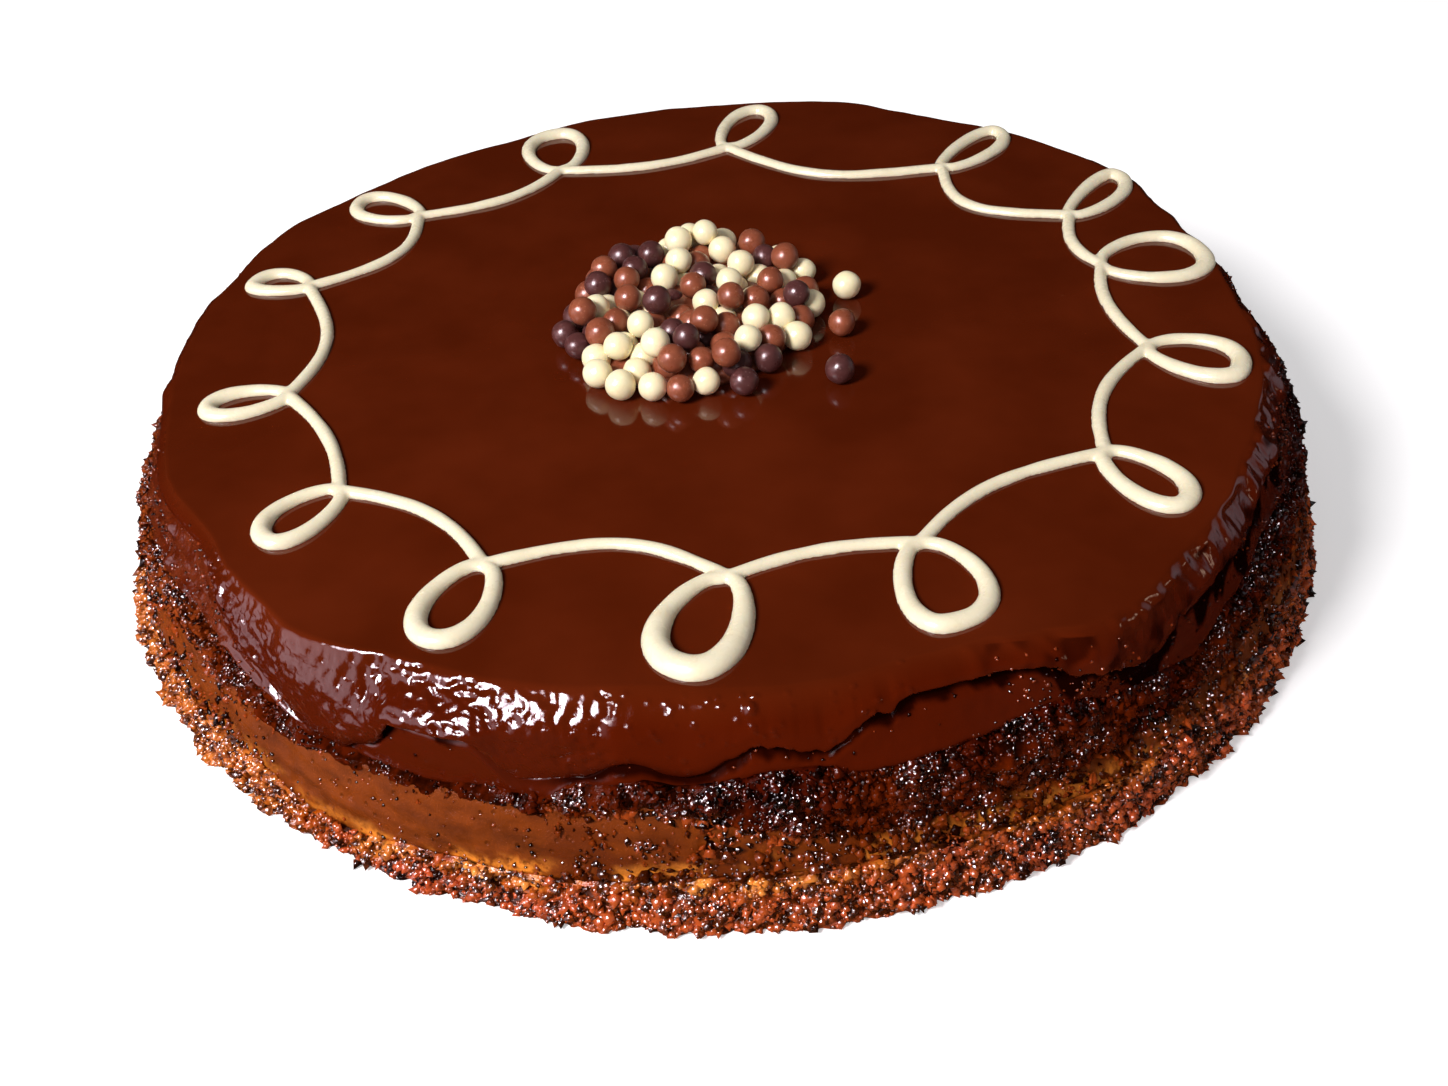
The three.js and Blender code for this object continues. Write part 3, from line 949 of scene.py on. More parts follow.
@dataclass(frozen=True)
class StainLight:
    """Amber tint low on the side of the cake, partly staining and partly painted warm light from below, and
    golden spots on the ledge over the foot, which are a painted gold reflection.
    """

    stain_light_zone: Rows = (
        (20, 0.5), (120, 0.3), (200, 0.3), (240, 0.35), (252, 0.6), (258, 1.5), (278, 1.7), (300, 1.4),
        (330, 1.4), (350, 0.9),
    )
    # Where the painted gold reflection shows, round the cake.
    golden: Rows = ((200, 0), (235, 0.5), (242, 1), (272, 1), (284, 0.6), (330, 0.5), (350, 0.3))
    level: float = 0.55
    patches: Relief = Relief(0.9, 14, 5, 3)
    stain_light_fade: Span = (14, 26)
    spots: Relief = Relief(1, 9, 6, 4)
    spot_edge: Span = (-0.3, 0.25)
    ledge: Span = (1.2, 4.5)

    def stain_light(self, points: Array) -> Array:
        """How far the sponge and the mousse are tinted amber: partly staining, partly painted warm light
        from below.

        Args:
            points: Places on the side of the cake.

        Returns:
            Shares from 0 to 1.
        """
        zone = around(self.stain_light_zone, np.arctan2(points[:, 1], points[:, 0]))
        low = 1 - ease(points[:, 2], *self.stain_light_fade)
        return np.clip(zone * (self.level + self.patches.at(points)) * low, 0, 1)

    def shine(self, points: Array, apart: Array) -> Array:
        """How far the ledge between foot and mousse shines golden: a painted gold reflection.

        Args:
            points: Places on the side of the cake.
            apart: Their distances from the ledge.

        Returns:
            Shares from 0 to 1.
        """
        zone = around(self.golden, np.arctan2(points[:, 1], points[:, 0]))
        return zone * ease(self.spots.at(points), *self.spot_edge) * (1 - ease(apart, *self.ledge))


STAIN_LIGHT = StainLight()


@dataclass(frozen=True)
class Pits:
    """Round pits that bubbles left on a stretch of a layer, or the bubbles where the depth is negative."""

    start: float
    end: float
    count: int
    depth: float
    sizes: Span
    seed: int
    beside: int = 8
    upward: float = 0.7

    def press(self, rings: list[Array], angle: Array) -> None:
        """Presses the pits into a layer.

        Args:
            rings: Rings of the layer, changed in place.
            angle: Angles in radians.
        """
        draws = np.random.default_rng(self.seed)
        azimuth = np.degrees(angle) % 360
        columns = np.flatnonzero((azimuth > self.start) & (azimuth < self.end))
        spread = np.stack(rings)
        inward = -np.stack([np.cos(angle), np.sin(angle), self.upward + 0 * angle], axis=-1)
        inward /= math.hypot(1, self.upward)
        for _ in range(self.count):
            row = draws.integers(2, len(rings) - 2)
            column = draws.choice(columns)
            reach = draws.uniform(*self.sizes)
            window = (column + np.arange(-self.beside, self.beside + 1)) % len(angle)
            apart = np.linalg.norm(spread[:, window] - spread[row, column], axis=-1)
            press = self.depth * reach * np.clip(1 - (apart / reach) ** 2, 0, 1)
            spread[:, window] += press[..., None] * inward[window]
        rings[:] = list(spread)


@dataclass
class SpongeFoot:
    """Craggy sponge at the foot of the cake."""

    name: str = "sponge_foot"
    rows: int = 24
    crag: float = 1.7
    crag_middle: float = 0.5
    crag_swing: float = 1.1
    crag_span: Span = (-0.1, 1.6)
    crag_start: Span = (-0.02, 0.12)
    lumps: Relief = Relief(1, 4.2, 11, 3)
    inner: float = 100
    edge_gap: float = 0.05
    lid_gap: float = 0.1
    tone: float = 0.32
    crag_shade: float = 0.5
    stain_light_tint: float = 0.45
    gold_reflection: float = 1.8
    paled: float = 1.4
    pale: Rows = ((150, 0), (185, 1), (228, 1), (242, 0))
    crumb_rows: Span = (0.03, 0.97)
    shine: float = 0.3

    def build(self, angle: Array) -> Piece:
        """Builds the foot with its crags.

        Args:
            angle: Angles in radians.

        Returns:
            The new piece.
        """
        surface = PolarSurface(self.name)
        lid = FORM.base_middle - self.lid_gap
        surface.add(FORM.place(self.inner, lid, angle))
        edge = FORM.place(FORM.base_top_radius, around(FORM.base_edge, angle) - self.edge_gap, angle)
        foot = FORM.foot(angle)
        for share in np.linspace(0, 1, self.rows):
            line = edge + (foot - edge) * share
            lumps = self.lumps.at(line)
            crags = np.clip(self.crag_middle + self.crag_swing * lumps, *self.crag_span)
            inset = self.crag * crags * ease(share, *self.crag_start)
            pulled = 1 - inset / FORM.base_top_radius
            ring = line * np.stack([pulled, pulled, np.ones_like(pulled)], axis=-1)
            below = np.linalg.norm(foot - edge, axis=1) * share
            # Amber tint, partly staining and partly painted warm light, with painted gold reflection on the
            # ledge and paler colour on the left.
            stain_light_share = self.stain_light_tint * STAIN_LIGHT.stain_light(ring) + self.gold_reflection * STAIN_LIGHT.shine(ring, below)
            # The tone falls where the crags sink, so the hollows take the dark colour: painted shade.
            surface.add(
                ring,
                tone=np.clip(self.tone - self.crag_shade * lumps, 0, 1),
                amber=np.maximum(stain_light_share, self.paled * around(self.pale, angle)),
                crumbs=float(self.crumb_rows[0] < share < self.crumb_rows[1]),
            )
        surface.add(level_ring(self.inner, angle))
        return add_object(surface.mesh(FORM.pole(lid), np.zeros(3)), BASE_FINISH.material(self.shine))


@dataclass
class MousseBand:
    """Mousse layer between the sponges, smeared by the knife."""

    name: str = "mousse_band"
    rows: int = 26
    top_radius: float = 123
    foot_radius: float = 126
    inner: float = 100
    bulge: float = 0.6
    smear: float = 0.35
    waves: Relief = Relief(1, (9, 9, 2.5), 31)
    ripples: Relief = Relief(0.5, (3.5, 3.5, 1.6), 31)
    patches: Relief = Relief(1, 6, 31, 2)
    pits: Pits = Pits(-1, 361, 260, 0.5, (0.5, 1.3), 31)
    closed_rise: float = 0.9
    stain_light_tint: float = 0.8
    patch_edge: Span = (-0.05, 0.4)
    edge_reach: Span = (0.3, 2.4)
    bare_crumbs: float = 0.09
    patch_crumbs: float = 0.5
    crumbs: Rows = (
        (0, 1.6), (20, 0.9), (140, 0.8), (165, 2), (212, 2.2), (224, 1.6), (231, 0.3), (254, 0.3),
        (259, 1.2), (264, 3), (275, 3.4), (335, 3.4),
    )

    def build(self, angle: Array) -> Piece:
        """Builds the band with its smears and pits.

        Args:
            angle: Angles in radians.

        Returns:
            The new piece.
        """
        top = around(FORM.mousse_edge, angle) + self.closed_rise * around(FORM.closed, angle)
        bottom = around(FORM.base_edge, angle)
        rings, marks = [], []
        for share in np.linspace(0, 1, self.rows):
            height = top + (bottom - top) * share
            belly = 4 * self.bulge * share * (1 - share)
            radius = self.top_radius + (self.foot_radius - self.top_radius) * share + belly
            line = FORM.place(radius, height, angle)
            wave = self.waves.at(line) + self.ripples.at(line)
            ring = FORM.place(radius + self.smear * wave, height, angle)
            edge = 1 - ease(np.minimum(share, 1 - share) * (top - bottom), *self.edge_reach)
            patch = ease(self.patches.at(line), *self.patch_edge)
            clinging = self.bare_crumbs + self.patch_crumbs * patch + edge
            rings.append(ring)
            # Amber tint, partly staining and partly painted warm light, and painted gold reflection near
            # the foot.
            marks.append({
                "amber": STAIN_LIGHT.stain_light(ring) * self.stain_light_tint,
                "golden": STAIN_LIGHT.shine(ring, (1 - share) * (top - bottom)),
                "crumbs": np.clip(around(self.crumbs, angle) * clinging, 0, 1),
            })
        self.pits.press(rings, angle)
        surface = PolarSurface(self.name)
        surface.add(FORM.place(self.inner, FORM.mousse_middle, angle))
        for ring, numbers in zip(rings, marks):
            surface.add(ring, **numbers)
        surface.add(FORM.place(self.inner, FORM.base_middle, angle))
        mesh = surface.mesh(FORM.pole(FORM.mousse_middle), FORM.pole(FORM.base_middle))
        return add_object(mesh, MOUSSE_FINISH.material())


@dataclass
class SpongeBelt:
    """Second sponge: it backs the glaze and shows below it as a dark craggy belt."""

    name: str = "sponge_belt"
    rows: int = 18
    radius: float = 122.8
    inner: float = 100
    crag: float = 2
    crag_middle: float = 0.35
    crag_swing: float = 0.8
    crag_span: Span = (-0.5, 1)
    lumps: Relief = Relief(1, 4.2, 23, 3)
    patches: Relief = Relief(1, 6, 23, 2)
    under_glaze: float = 3.7
    wall: float = 5.5
    ledge_rise: float = 0.4
    ledge_depth: float = 2.2
    ledge_reach: Span = (0, 0.35)
    tuck: float = 0.9
    lid_gap: float = 0.1
    tone: float = 0.5
    crag_shade: float = 0.5
    stain_light_tint: float = 0.8
    paled: float = 1.4
    patch_edge: Span = (-0.35, 0.15)
    bare_crumbs: float = 0.35
    patch_crumbs: float = 0.65
    crumb_rows: Span = (0.05, 0.97)
    stain_light_drop: Triple = (0, 0, 6)
    pale: Rows = ((60, 0.3), (150, 0.7), (165, 1), (214, 1), (228, 0.3), (234, 0.2), (258, 0.1), (264, 0))
    crumbs: Rows = ((150, 0.8), (215, 0.7), (229, 0.5), (234, 0.3), (252, 0.4), (256, 1))
    shine: float = 0.02

    def build(self, angle: Array) -> Piece:
        """Builds the sponge with its crags.

        Args:
            angle: Angles in radians.

        Returns:
            The new piece.
        """
        surface = PolarSurface(self.name)
        lid = FORM.top_height - self.under_glaze
        ledge = around(FORM.coat_edge, angle) + self.ledge_rise
        coat = FORM.coat_radius(ledge, angle)
        foot = around(FORM.mousse_edge, angle)
        surface.add(FORM.place(FORM.bend_end(angle)[0] - self.wall, lid, angle))
        surface.add(FORM.place(coat - self.ledge_depth, ledge, angle))
        for share in np.linspace(0, 1, self.rows):
            height = ledge + (foot - ledge) * share
            start = coat - self.tuck
            radius = start + (self.radius - start) * ease(share, *self.ledge_reach)
            line = FORM.place(radius, height, angle)
            lumps = self.lumps.at(line)
            crags = np.clip(self.crag_middle - self.crag_swing * lumps, *self.crag_span)
            ring = FORM.place(radius + self.crag * crags, height, angle)
            patch = ease(self.patches.at(line), *self.patch_edge)
            clinging = self.bare_crumbs + self.patch_crumbs * patch
            # Amber tint, partly staining and partly painted warm light, lowered a little, with paler colour
            # on the left.
            stain_light_share = STAIN_LIGHT.stain_light(ring - np.array(self.stain_light_drop))
            # The tone falls where the crags sink, so the hollows take the dark colour: painted shade.
            surface.add(
                ring,
                tone=np.clip(self.tone - self.crag_shade * lumps, 0, 1),
                amber=self.stain_light_tint * stain_light_share + self.paled * around(self.pale, angle),
                crumbs=clinging * around(self.crumbs, angle)
                * (self.crumb_rows[0] < share < self.crumb_rows[1]),
            )
        floor = FORM.mousse_middle + self.lid_gap
        surface.add(FORM.place(self.inner, floor, angle))
        return add_object(surface.mesh(FORM.pole(lid), FORM.pole(floor)), BELT_FINISH.material(self.shine))


@dataclass
class GlazeSkin:
    """Poured glaze over the top and down the side, with a thick lip over a thin coat."""

    name: str = "glaze_skin"
    thickness: float = 3.5
    coat_thickness: float = 1.6
    wall: float = 5
    nose: float = 0.9
    tuck: float = 3.2
    undercut: float = 0.95
    least_groove: float = 0.8
    side_radius: float = 120
    rim_radius: float = 118
    flat_rings: int = 14
    lip_rows: int = 40
    coat_rows: int = 18
    edge_round: Span = (0.3, 0.25)

    # Lines round the cake
    rim_wave: Relief = Relief(0.5, 11, 57, 2)
    lip_wave: Relief = Relief(0.5, 7, 47, 2)
    lip_tear: Relief = Relief(1, 3.5, 61, 3)
    coat_wave: Relief = Relief(0.5, 5, 48, 3)
    closed_drop: float = 1.1
    rim_crease: Rows = ((0, 25), (225, 25), (240, 20), (258, 14), (266, 4), (294, 4), (302, 25))
    steep: Rows = ((222, 0), (229, 1), (240, 1), (246, 0))
    linger: Rows = ((238, 0), (246, 1), (258, 1), (264, 0))
    short_lip: Rows = ((150, 0), (168, 1), (219, 1), (226, 0))
    ragged: Rows = ((266, 0), (276, 1.1), (300, 1.1), (310, 1.2), (335, 1), (345, 0))
    proud: Rows = (
        (0, 1.6), (60, 1.5), (125, 2.0), (182, 0.9), (214, 0.9), (228, 1.8), (240, 3.2), (248, 3),
        (254, 0.3), (258, 0.3), (263, 1.2), (270, 1.6), (278, 2.2), (286, 1.8), (300, 2), (308, 1.9),
        (320, 1.7), (340, 1.5),
    )

    # Relief of the top and the lip
    top_swell: Relief = Relief(0.08, 34, 49)
    top_sink: float = 0.02
    swell: Relief = Relief(0.45, 15, 50)
    lumps: Relief = Relief(0.3, 5.5, 51, 2)
    dents: Relief = Relief(1, 2.3, 58)
    dent_depth: float = 0.3
    shard_warp: Relief = Relief(1, 9, 52)
    shard_size: Span = (6, 7)
    shard_heights: Span = (2.4, 0.9)
    shard_seed: int = 47
    rough: Rows = (
        (0, 0.4), (60, 0.3), (120, 0.3), (160, 0.3), (212, 0.3), (220, 1.1), (236, 1.1), (244, 0.6),
        (258, 0.6), (263, 0.3), (267, 0.1), (290, 0.1), (312, 0.35), (330, 0.4),
    )
    folds: Rows = (
        (0, 0.6), (30, 0.2), (150, 0.15), (185, 0.2), (198, 0), (286, 0), (294, 0.5), (302, 0.9), (345, 1),
    )
    pits: tuple[Pits, ...] = (
        Pits(218, 242, 900, 0.28, (0.4, 0.9), 47), Pits(240, 262, 700, 0.28, (0.4, 0.9), 47),
    )
    specks: Pits = Pits(256, 286, 110, -0.7, (0.35, 0.62), 63)
    lifted: float = 0.03
    bubble_rise: float = 0.7
    bubble_edge: float = 0.05
    bubble_spots: tuple[Triple, ...] = ((272.8, 40, 1.5), (271.5, 55, 0.9), (263, 50, 1.0))

    # Relief of the coat
    smears: tuple[Relief, ...] = (Relief(0.25, (9, 9, 4), 53), Relief(0.08, 2.5, 54))
    crumbly: Relief = Relief(1, 4, 55, 2)
    crumble: float = 1.1
    groove_reach: Span = (0.2, 3.2)
    rope_rise: float = 0.9
    rope_width: float = 0.8
    strands: Relief = Relief(1, (16, 16, 3.6), 60)
    strand_width: float = 0.1
    strand_height: float = 1.3
    strand_start: Span = (0, 1.5)
    rope: Rows = ((0, 0.3), (150, 0.3), (170, 0.9), (230, 0.9), (240, 0.4), (262, 0.2), (300, 0.3))
    film: Rows = ((150, 0), (166, 0.8), (218, 0.8), (228, 0.15), (234, 0))

    # What the finish and the crumbs read
    top_worn: float = 0.03
    rim_worn: float = 0.08
    rim_from: float = 0.99
    lip_worn: float = 0.1
    coat_worn: float = 0.25
    crumb_worn: float = 0.6
    film_worn: float = 0.8
    film_start: Span = (0, 0.15)
    fold_shade: float = 0.8
    fold_from: int = 6
    gap_patches: Relief = Relief(1, 6, 59, 2)
    gap_edge: Span = (0.1, 0.5)
    recess_rows: Span = (0.72, 0.95)
    recess_fade: Span = (-0.4, 0.9)
    # How dark the painted shade under the lip's edge is, round the cake.
    recess: Rows = (
        (0, 0.4), (20, 0), (228, 0), (236, 0.7), (240, 1), (247, 1), (251, 0.2), (255, 0.2), (259, 0.9),
        (272, 0.8), (298, 0.95), (306, 1), (335, 1),
    )
    # How far down the coat the painted shade under the lip reaches, round the cake.
    recess_depth: Rows = (
        (20, 1), (236, 1), (240, 2.8), (247, 2.8), (252, 1), (262, 1), (274, 2), (296, 2.4), (302, 6.6),
        (332, 6.6), (345, 2),
    )
    recess_wave: Relief = Relief(0.9, 6, 62, 3)
    matt: Rows = ((258, 0), (264, 1), (280, 1), (296, 0.6), (302, 0))
    crumbs: Rows = (
        (0, 0.3), (60, 0.08), (150, 0.3), (172, 0.14), (218, 0.12), (228, 0.1), (240, 0.02), (292, 0.03),
        (297, 0.3), (302, 0.25), (307, 0.04), (330, 0.04), (340, 0.3),
    )
    crumb_rows: Span = (0.1, 0.95)
    clean_lip: Span = (225, 290)

    def build(self, angle: Array) -> Piece:
        """Builds the skin with its lip, folds, pits and bubbles.

        Args:
            angle: Angles in radians.

        Returns:
            The new piece.
        """
        surface = PolarSurface(self.name)
        rim, lip, foot = self.rim_line(angle), self.lip_line(angle), self.coat_line(angle)
        for share in self.flat_shares():
            worn = self.rim_worn if share > self.rim_from else self.top_worn
            surface.add(self.flat_ring(share, rim, angle), worn=worn)
        self.add_lip(surface, self.lip_rings(rim, lip, angle), angle)
        self.add_coat(surface, lip, foot, angle)
        inner = FORM.coat_radius(foot, angle) - self.coat_thickness
        lid = FORM.top_height - self.thickness
        out, drop = self.edge_round
        surface.add(FORM.place(inner + out, foot - drop, angle), coat=1)
        surface.add(FORM.place(inner, foot, angle), coat=1)
        surface.add(FORM.place(FORM.bend_end(angle)[0] - self.wall, lid, angle), coat=1)
        return add_object(surface.mesh(FORM.pole(FORM.top_height), FORM.pole(lid)), GLAZE_FINISH.material())

    def add_lip(self, surface: PolarSurface, face: list[Array], angle: Array) -> None:
        """Adds the lip with its pits, specks and shade: under the edge and between shards.

        Args:
            surface: Surface of the glaze.
            face: Rings of the lip.
            angle: Angles in radians.
        """
        for pits in self.pits:
            pits.press(face, angle)
        smooth = np.stack(face)
        self.specks.press(face, angle)
        still = np.linalg.norm(np.stack(face) - smooth, axis=-1) < self.lifted
        azimuth = np.degrees(angle) % 360
        outside = (azimuth < self.clean_lip[0]) | (azimuth > self.clean_lip[1])
        clinging = around(self.crumbs, angle) * outside
        rough = around(self.rough, angle)
        for n, ring in enumerate(face):
            down = n / self.lip_rows
            turned = np.clip(2.5 * down, 0, 1)
            low = ease(self.gap_patches.at(ring), *self.gap_edge)
            edge = ease((n + 1) / self.lip_rows, *self.recess_rows)
            shade = self.fold_shade * around(self.folds, angle) * low * (n > self.fold_from)
            # coat darkens the lip's face towards the side's colour, and gap puts near-black colour at the
            # nose and in patches between shards: both are painted shade.
            surface.add(
                ring,
                worn=self.lip_worn + (rough - self.lip_worn) * min(1, 4 * down),
                coat=turned,
                crumbs=np.clip(0.7 * (turned - 0.6), 0, 1) * clinging,
                gap=around(self.recess, angle) * edge + shade,
                matt=around(self.matt, angle) * (self.bubbles(ring) < self.bubble_edge) * still[n],
            )

    def add_coat(self, surface: PolarSurface, lip: Array, foot: Array, angle: Array) -> None:
        """Adds the coat, with a ragged shade under the lip.

        Args:
            surface: Surface of the glaze.
            lip: Heights of the lip's lower edge.
            foot: Heights of the coat's lower edge.
            angle: Angles in radians.
        """
        ragged = 1 + self.recess_wave.at(FORM.place(self.side_radius, 0, angle))
        deep = around(self.recess_depth, angle) * ragged
        crumbs, film = around(self.crumbs, angle), around(self.film, angle)
        for share in np.linspace(0, 1, self.coat_rows):
            below = share * (lip - foot) - deep
            # coat holds the coat at the side's darker colour, and gap puts near-black colour in the groove
            # under the lip, fading down the coat: both are painted shade.
            surface.add(
                self.coat_ring(share, lip, foot, angle),
                worn=self.coat_worn + self.crumb_worn * crumbs + self.film_worn * film,
                coat=1,
                crumbs=crumbs * (self.crumb_rows[0] < share < self.crumb_rows[1]),
                gap=around(self.recess, angle) * (1 - ease(below, *self.recess_fade)),
                film=film * ease(share, *self.film_start),
                matt=around(self.matt, angle),
            )

    def flat_shares(self) -> list[float]:
        """Rings of the flat top as shares of the rim's radius, close together at the rim."""
        return [*(0.97 * np.sqrt(np.linspace(0.02, 1, self.flat_rings))), 0.985, 0.995, 1.0]

    def crease(self, angle: Array) -> Array:
        """Slope at which the bend leaves the flat top: crisp at the sides, soft in front."""
        return np.radians(around(self.rim_crease, angle))

    def rim_line(self, angle: Array) -> Array:
        """Radius of the flat top's edge, a little uneven.

        Args:
            angle: Angles in radians.

        Returns:
            One radius for each angle.
        """
        line = FORM.place(self.rim_radius, FORM.top_height, angle)
        softer = math.sin(math.radians(FORM.bend_from)) - np.sin(self.crease(angle))
        return around(FORM.rim, angle) - around(FORM.bend, angle) * softer + self.rim_wave.at(line)

    def lip_line(self, angle: Array) -> Array:
        """Height of the lip's lower edge, a little uneven.

        Args:
            angle: Angles in radians.

        Returns:
            One height for each angle.
        """
        line = FORM.place(self.side_radius, 0, angle)
        uneven = self.lip_wave.at(line) + around(self.ragged, angle) * self.lip_tear.at(line)
        lowest = around(FORM.coat_edge, angle) + FORM.lip_over_coat
        highest = FORM.bend_end(angle)[1] - FORM.lip_under_bend
        edge = np.clip(around(FORM.lip_edge, angle) + uneven, lowest, np.maximum(highest, lowest))
        return edge + (highest - edge) * around(self.short_lip, angle)

    def coat_line(self, angle: Array) -> Array:
        """Height of the coat's lower edge, a little ragged."""
        ragged = self.coat_wave.at(FORM.place(self.side_radius, 0, angle))
        return around(FORM.coat_edge, angle) + ragged - self.closed_drop * around(FORM.closed, angle)

    def flat_ring(self, share: float, rim: Array, angle: Array) -> Array:
        """One ring of the flat top, with a faint swell that fades at the rim.

        Args:
            share: Share of the rim's radius.
            rim: Radii of the rim.
            angle: Angles in radians.

        Returns:
            Points of the ring.
        """
        line = FORM.place(share * rim, FORM.top_height, angle)
        line[:, 2] += (1 - ease(share, 0.93, 1)) * (self.top_swell.at(line) - self.top_sink)
        return line

    def lip_rings(self, rim: Array, lip: Array, angle: Array) -> list[Array]:
        """Rings from the rim round the bend, down the lip's face and in under its edge.

        Args:
            rim: Radii of the rim.
            lip: Heights of the lip's lower edge.
            angle: Angles in radians.

        Returns:
            The rings, from the rim down.
        """
        bend_run = around(FORM.bend, angle) * math.radians(FORM.bend_to - FORM.bend_from)
        end_radius, end_height = FORM.bend_end(angle)
        wall_slope = np.arctan2(end_height - FORM.coat_foot_height, FORM.coat_foot_radius - end_radius)
        length = bend_run + (end_height - lip) / np.sin(wall_slope)
        step = (length + self.tuck) / self.lip_rows
        radius, height = rim, FORM.top_height
        proud = around(self.proud, angle)
        inward = self.undercut * proud
        rings = []
        for n in range(self.lip_rows):
            before, after = n * step, (n + 1) * step
            slope = self.slope_at((before + after) / 2, bend_run, wall_slope, angle)
            move = np.clip(length - before, 0, step)
            radius = radius + move * np.cos(slope)
            height = height - move * np.sin(slope)
            curl = np.clip((after - length) / self.tuck, 0, 1)
            swell = proud * ease(after / length, 0.25, 0.85)
            out = (swell + inward) * np.cos(curl * np.pi / 2) - inward
            drop = self.nose * np.sin(curl * np.pi) * np.clip(proud / 1.5, 0, 1)
            start = ease(after / bend_run, 0.0, 0.5)
            relief = start * (1 - 0.7 * curl) * self.relief(FORM.place(radius, height, angle), angle)
            level = (out + relief) * np.sin(slope)
            rings.append(FORM.place(radius + level, height + relief * np.cos(slope) - drop, angle))
        return rings

    def slope_at(self, run: Array, bend_run: Array, wall_slope: Array, angle: Array) -> Array:
        """Slope at a distance from the rim, which lingers halfway round a wide bend.

        Args:
            run: Distances from the rim.
            bend_run: Lengths of the bend.
            wall_slope: Slopes of the wall below it.
            angle: Angles in radians.

        Returns:
            Slopes below level in radians.
        """
        share = np.clip(run / bend_run, 0, 1)
        centred = 2 * share - 1
        wide = ease(bend_run, 4, 8) * around(self.linger, angle)
        turned = 0.5 + 0.5 * ((1 - wide) * centred + wide * np.sign(centred) * np.abs(centred) ** 2.2)
        steep = 0.6 * ease(share, 0, 0.12) + 0.4 * share
        turned = turned + (steep - turned) * around(self.steep, angle)
        start = self.crease(angle)
        bend = start + (math.radians(FORM.bend_to) - start) * turned
        return bend + (wall_slope - bend) * ease(run - bend_run, -0.6, 1.2)

    def relief(self, place: Array, angle: Array) -> Array:
        """Swells, shards, dents and bubbles of the bend and the lip.

        Args:
            place: Places on the glaze.
            angle: Angles in radians.

        Returns:
            One rise for each place.
        """
        dents = -self.dent_depth * ease(self.dents.at(place), 0.25, 0.6)
        warp = 3 * self.shard_warp.at(place)
        across = (self.side_radius * angle + warp) / self.shard_size[0]
        down = (place[:, 2] - warp) / self.shard_size[1]
        large, small = self.shard_heights
        broken = large * shards(across, down, self.shard_seed)
        broken = broken + small * shards(2.3 * across, 2.1 * down, self.shard_seed + 1)
        rough = around(self.rough, angle) * (self.lumps.at(place) + dents)
        return self.swell.at(place) + self.bubbles(place) + rough + around(self.folds, angle) * broken

    def bubbles(self, place: Array) -> Array:
        """Rise of the bubbles that set in the bend.

        Args:
            place: Places on the glaze.

        Returns:
            One rise for each place.
        """
        rise = np.zeros(len(place))
        for azimuth, slope, size in self.bubble_spots:
            angle = np.radians(np.array([azimuth]))
            middle = FORM.place(*FORM.bend_point(math.radians(slope), angle), angle)
            apart = np.linalg.norm(place - middle, axis=1)
            rise += self.bubble_rise * size * np.sqrt(np.maximum(1 - (apart / size) ** 2, 0))
        return rise

    def coat_ring(self, share: float, lip: Array, foot: Array, angle: Array) -> Array:
        """One ring of the thin coat, from the groove under the lip to the coat's edge.

        Args:
            share: Share of the way down.
            lip: Heights of the lip's lower edge.
            foot: Heights of the coat's lower edge.
            angle: Angles in radians.

        Returns:
            Points of the ring.
        """
        height = lip + (foot - lip) * share
        radius = FORM.coat_radius(height, angle)
        place = FORM.place(radius, height, angle)
        smear = sum(relief.at(place) for relief in self.smears)
        crumbly = around(self.crumbs, angle) * self.crumble * self.crumbly.at(place)
        hollow = np.maximum(self.undercut * around(self.proud, angle), self.least_groove)
        groove = hollow * (1 - ease(lip - height, *self.groove_reach))
        above = (height - foot - self.rope_rise) / self.rope_width
        rope = around(self.rope, angle) * np.exp(-(above**2))
        strand = self.strand_height * np.exp(-((self.strands.at(place) / self.strand_width) ** 2))
        rope = rope + around(self.film, angle) * strand * ease(lip - height, *self.strand_start)
        return FORM.place(radius + smear + crumbly - groove + rope, height, angle)


def shards(across: Array, down: Array, seed: int) -> Array:
    """Flat shards joined edge to edge, from -0.5 to 0.5.

    Args:
        across: Places round the cake, in shards.
        down: Places down the side, in shards.
        seed: Seed of the shards' corners.

    Returns:
        One height for each place.
    """
    corners = np.random.default_rng(seed).uniform(-0.5, 0.5, (64, 64))
    column = np.floor(across).astype(int)
    row = np.floor(down).astype(int)
    a, b = across - column, down - row
    here, there = column % 64, (column + 1) % 64
    upper, lower = row % 64, (row + 1) % 64
    near = (1 - a - b) * corners[here, upper] + a * corners[there, upper] + b * corners[here, lower]
    far = (a + b - 1) * corners[there, lower] + (1 - a) * corners[here, lower]
    far += (1 - b) * corners[there, upper]
    return np.where(a + b < 1, near, far)


# Scattered things

CHIP_FACES = ((0, 1, 2), (3, 4, 2), (3, 1, 5), (0, 4, 5), (3, 2, 1), (0, 2, 4), (0, 5, 1), (3, 5, 4))


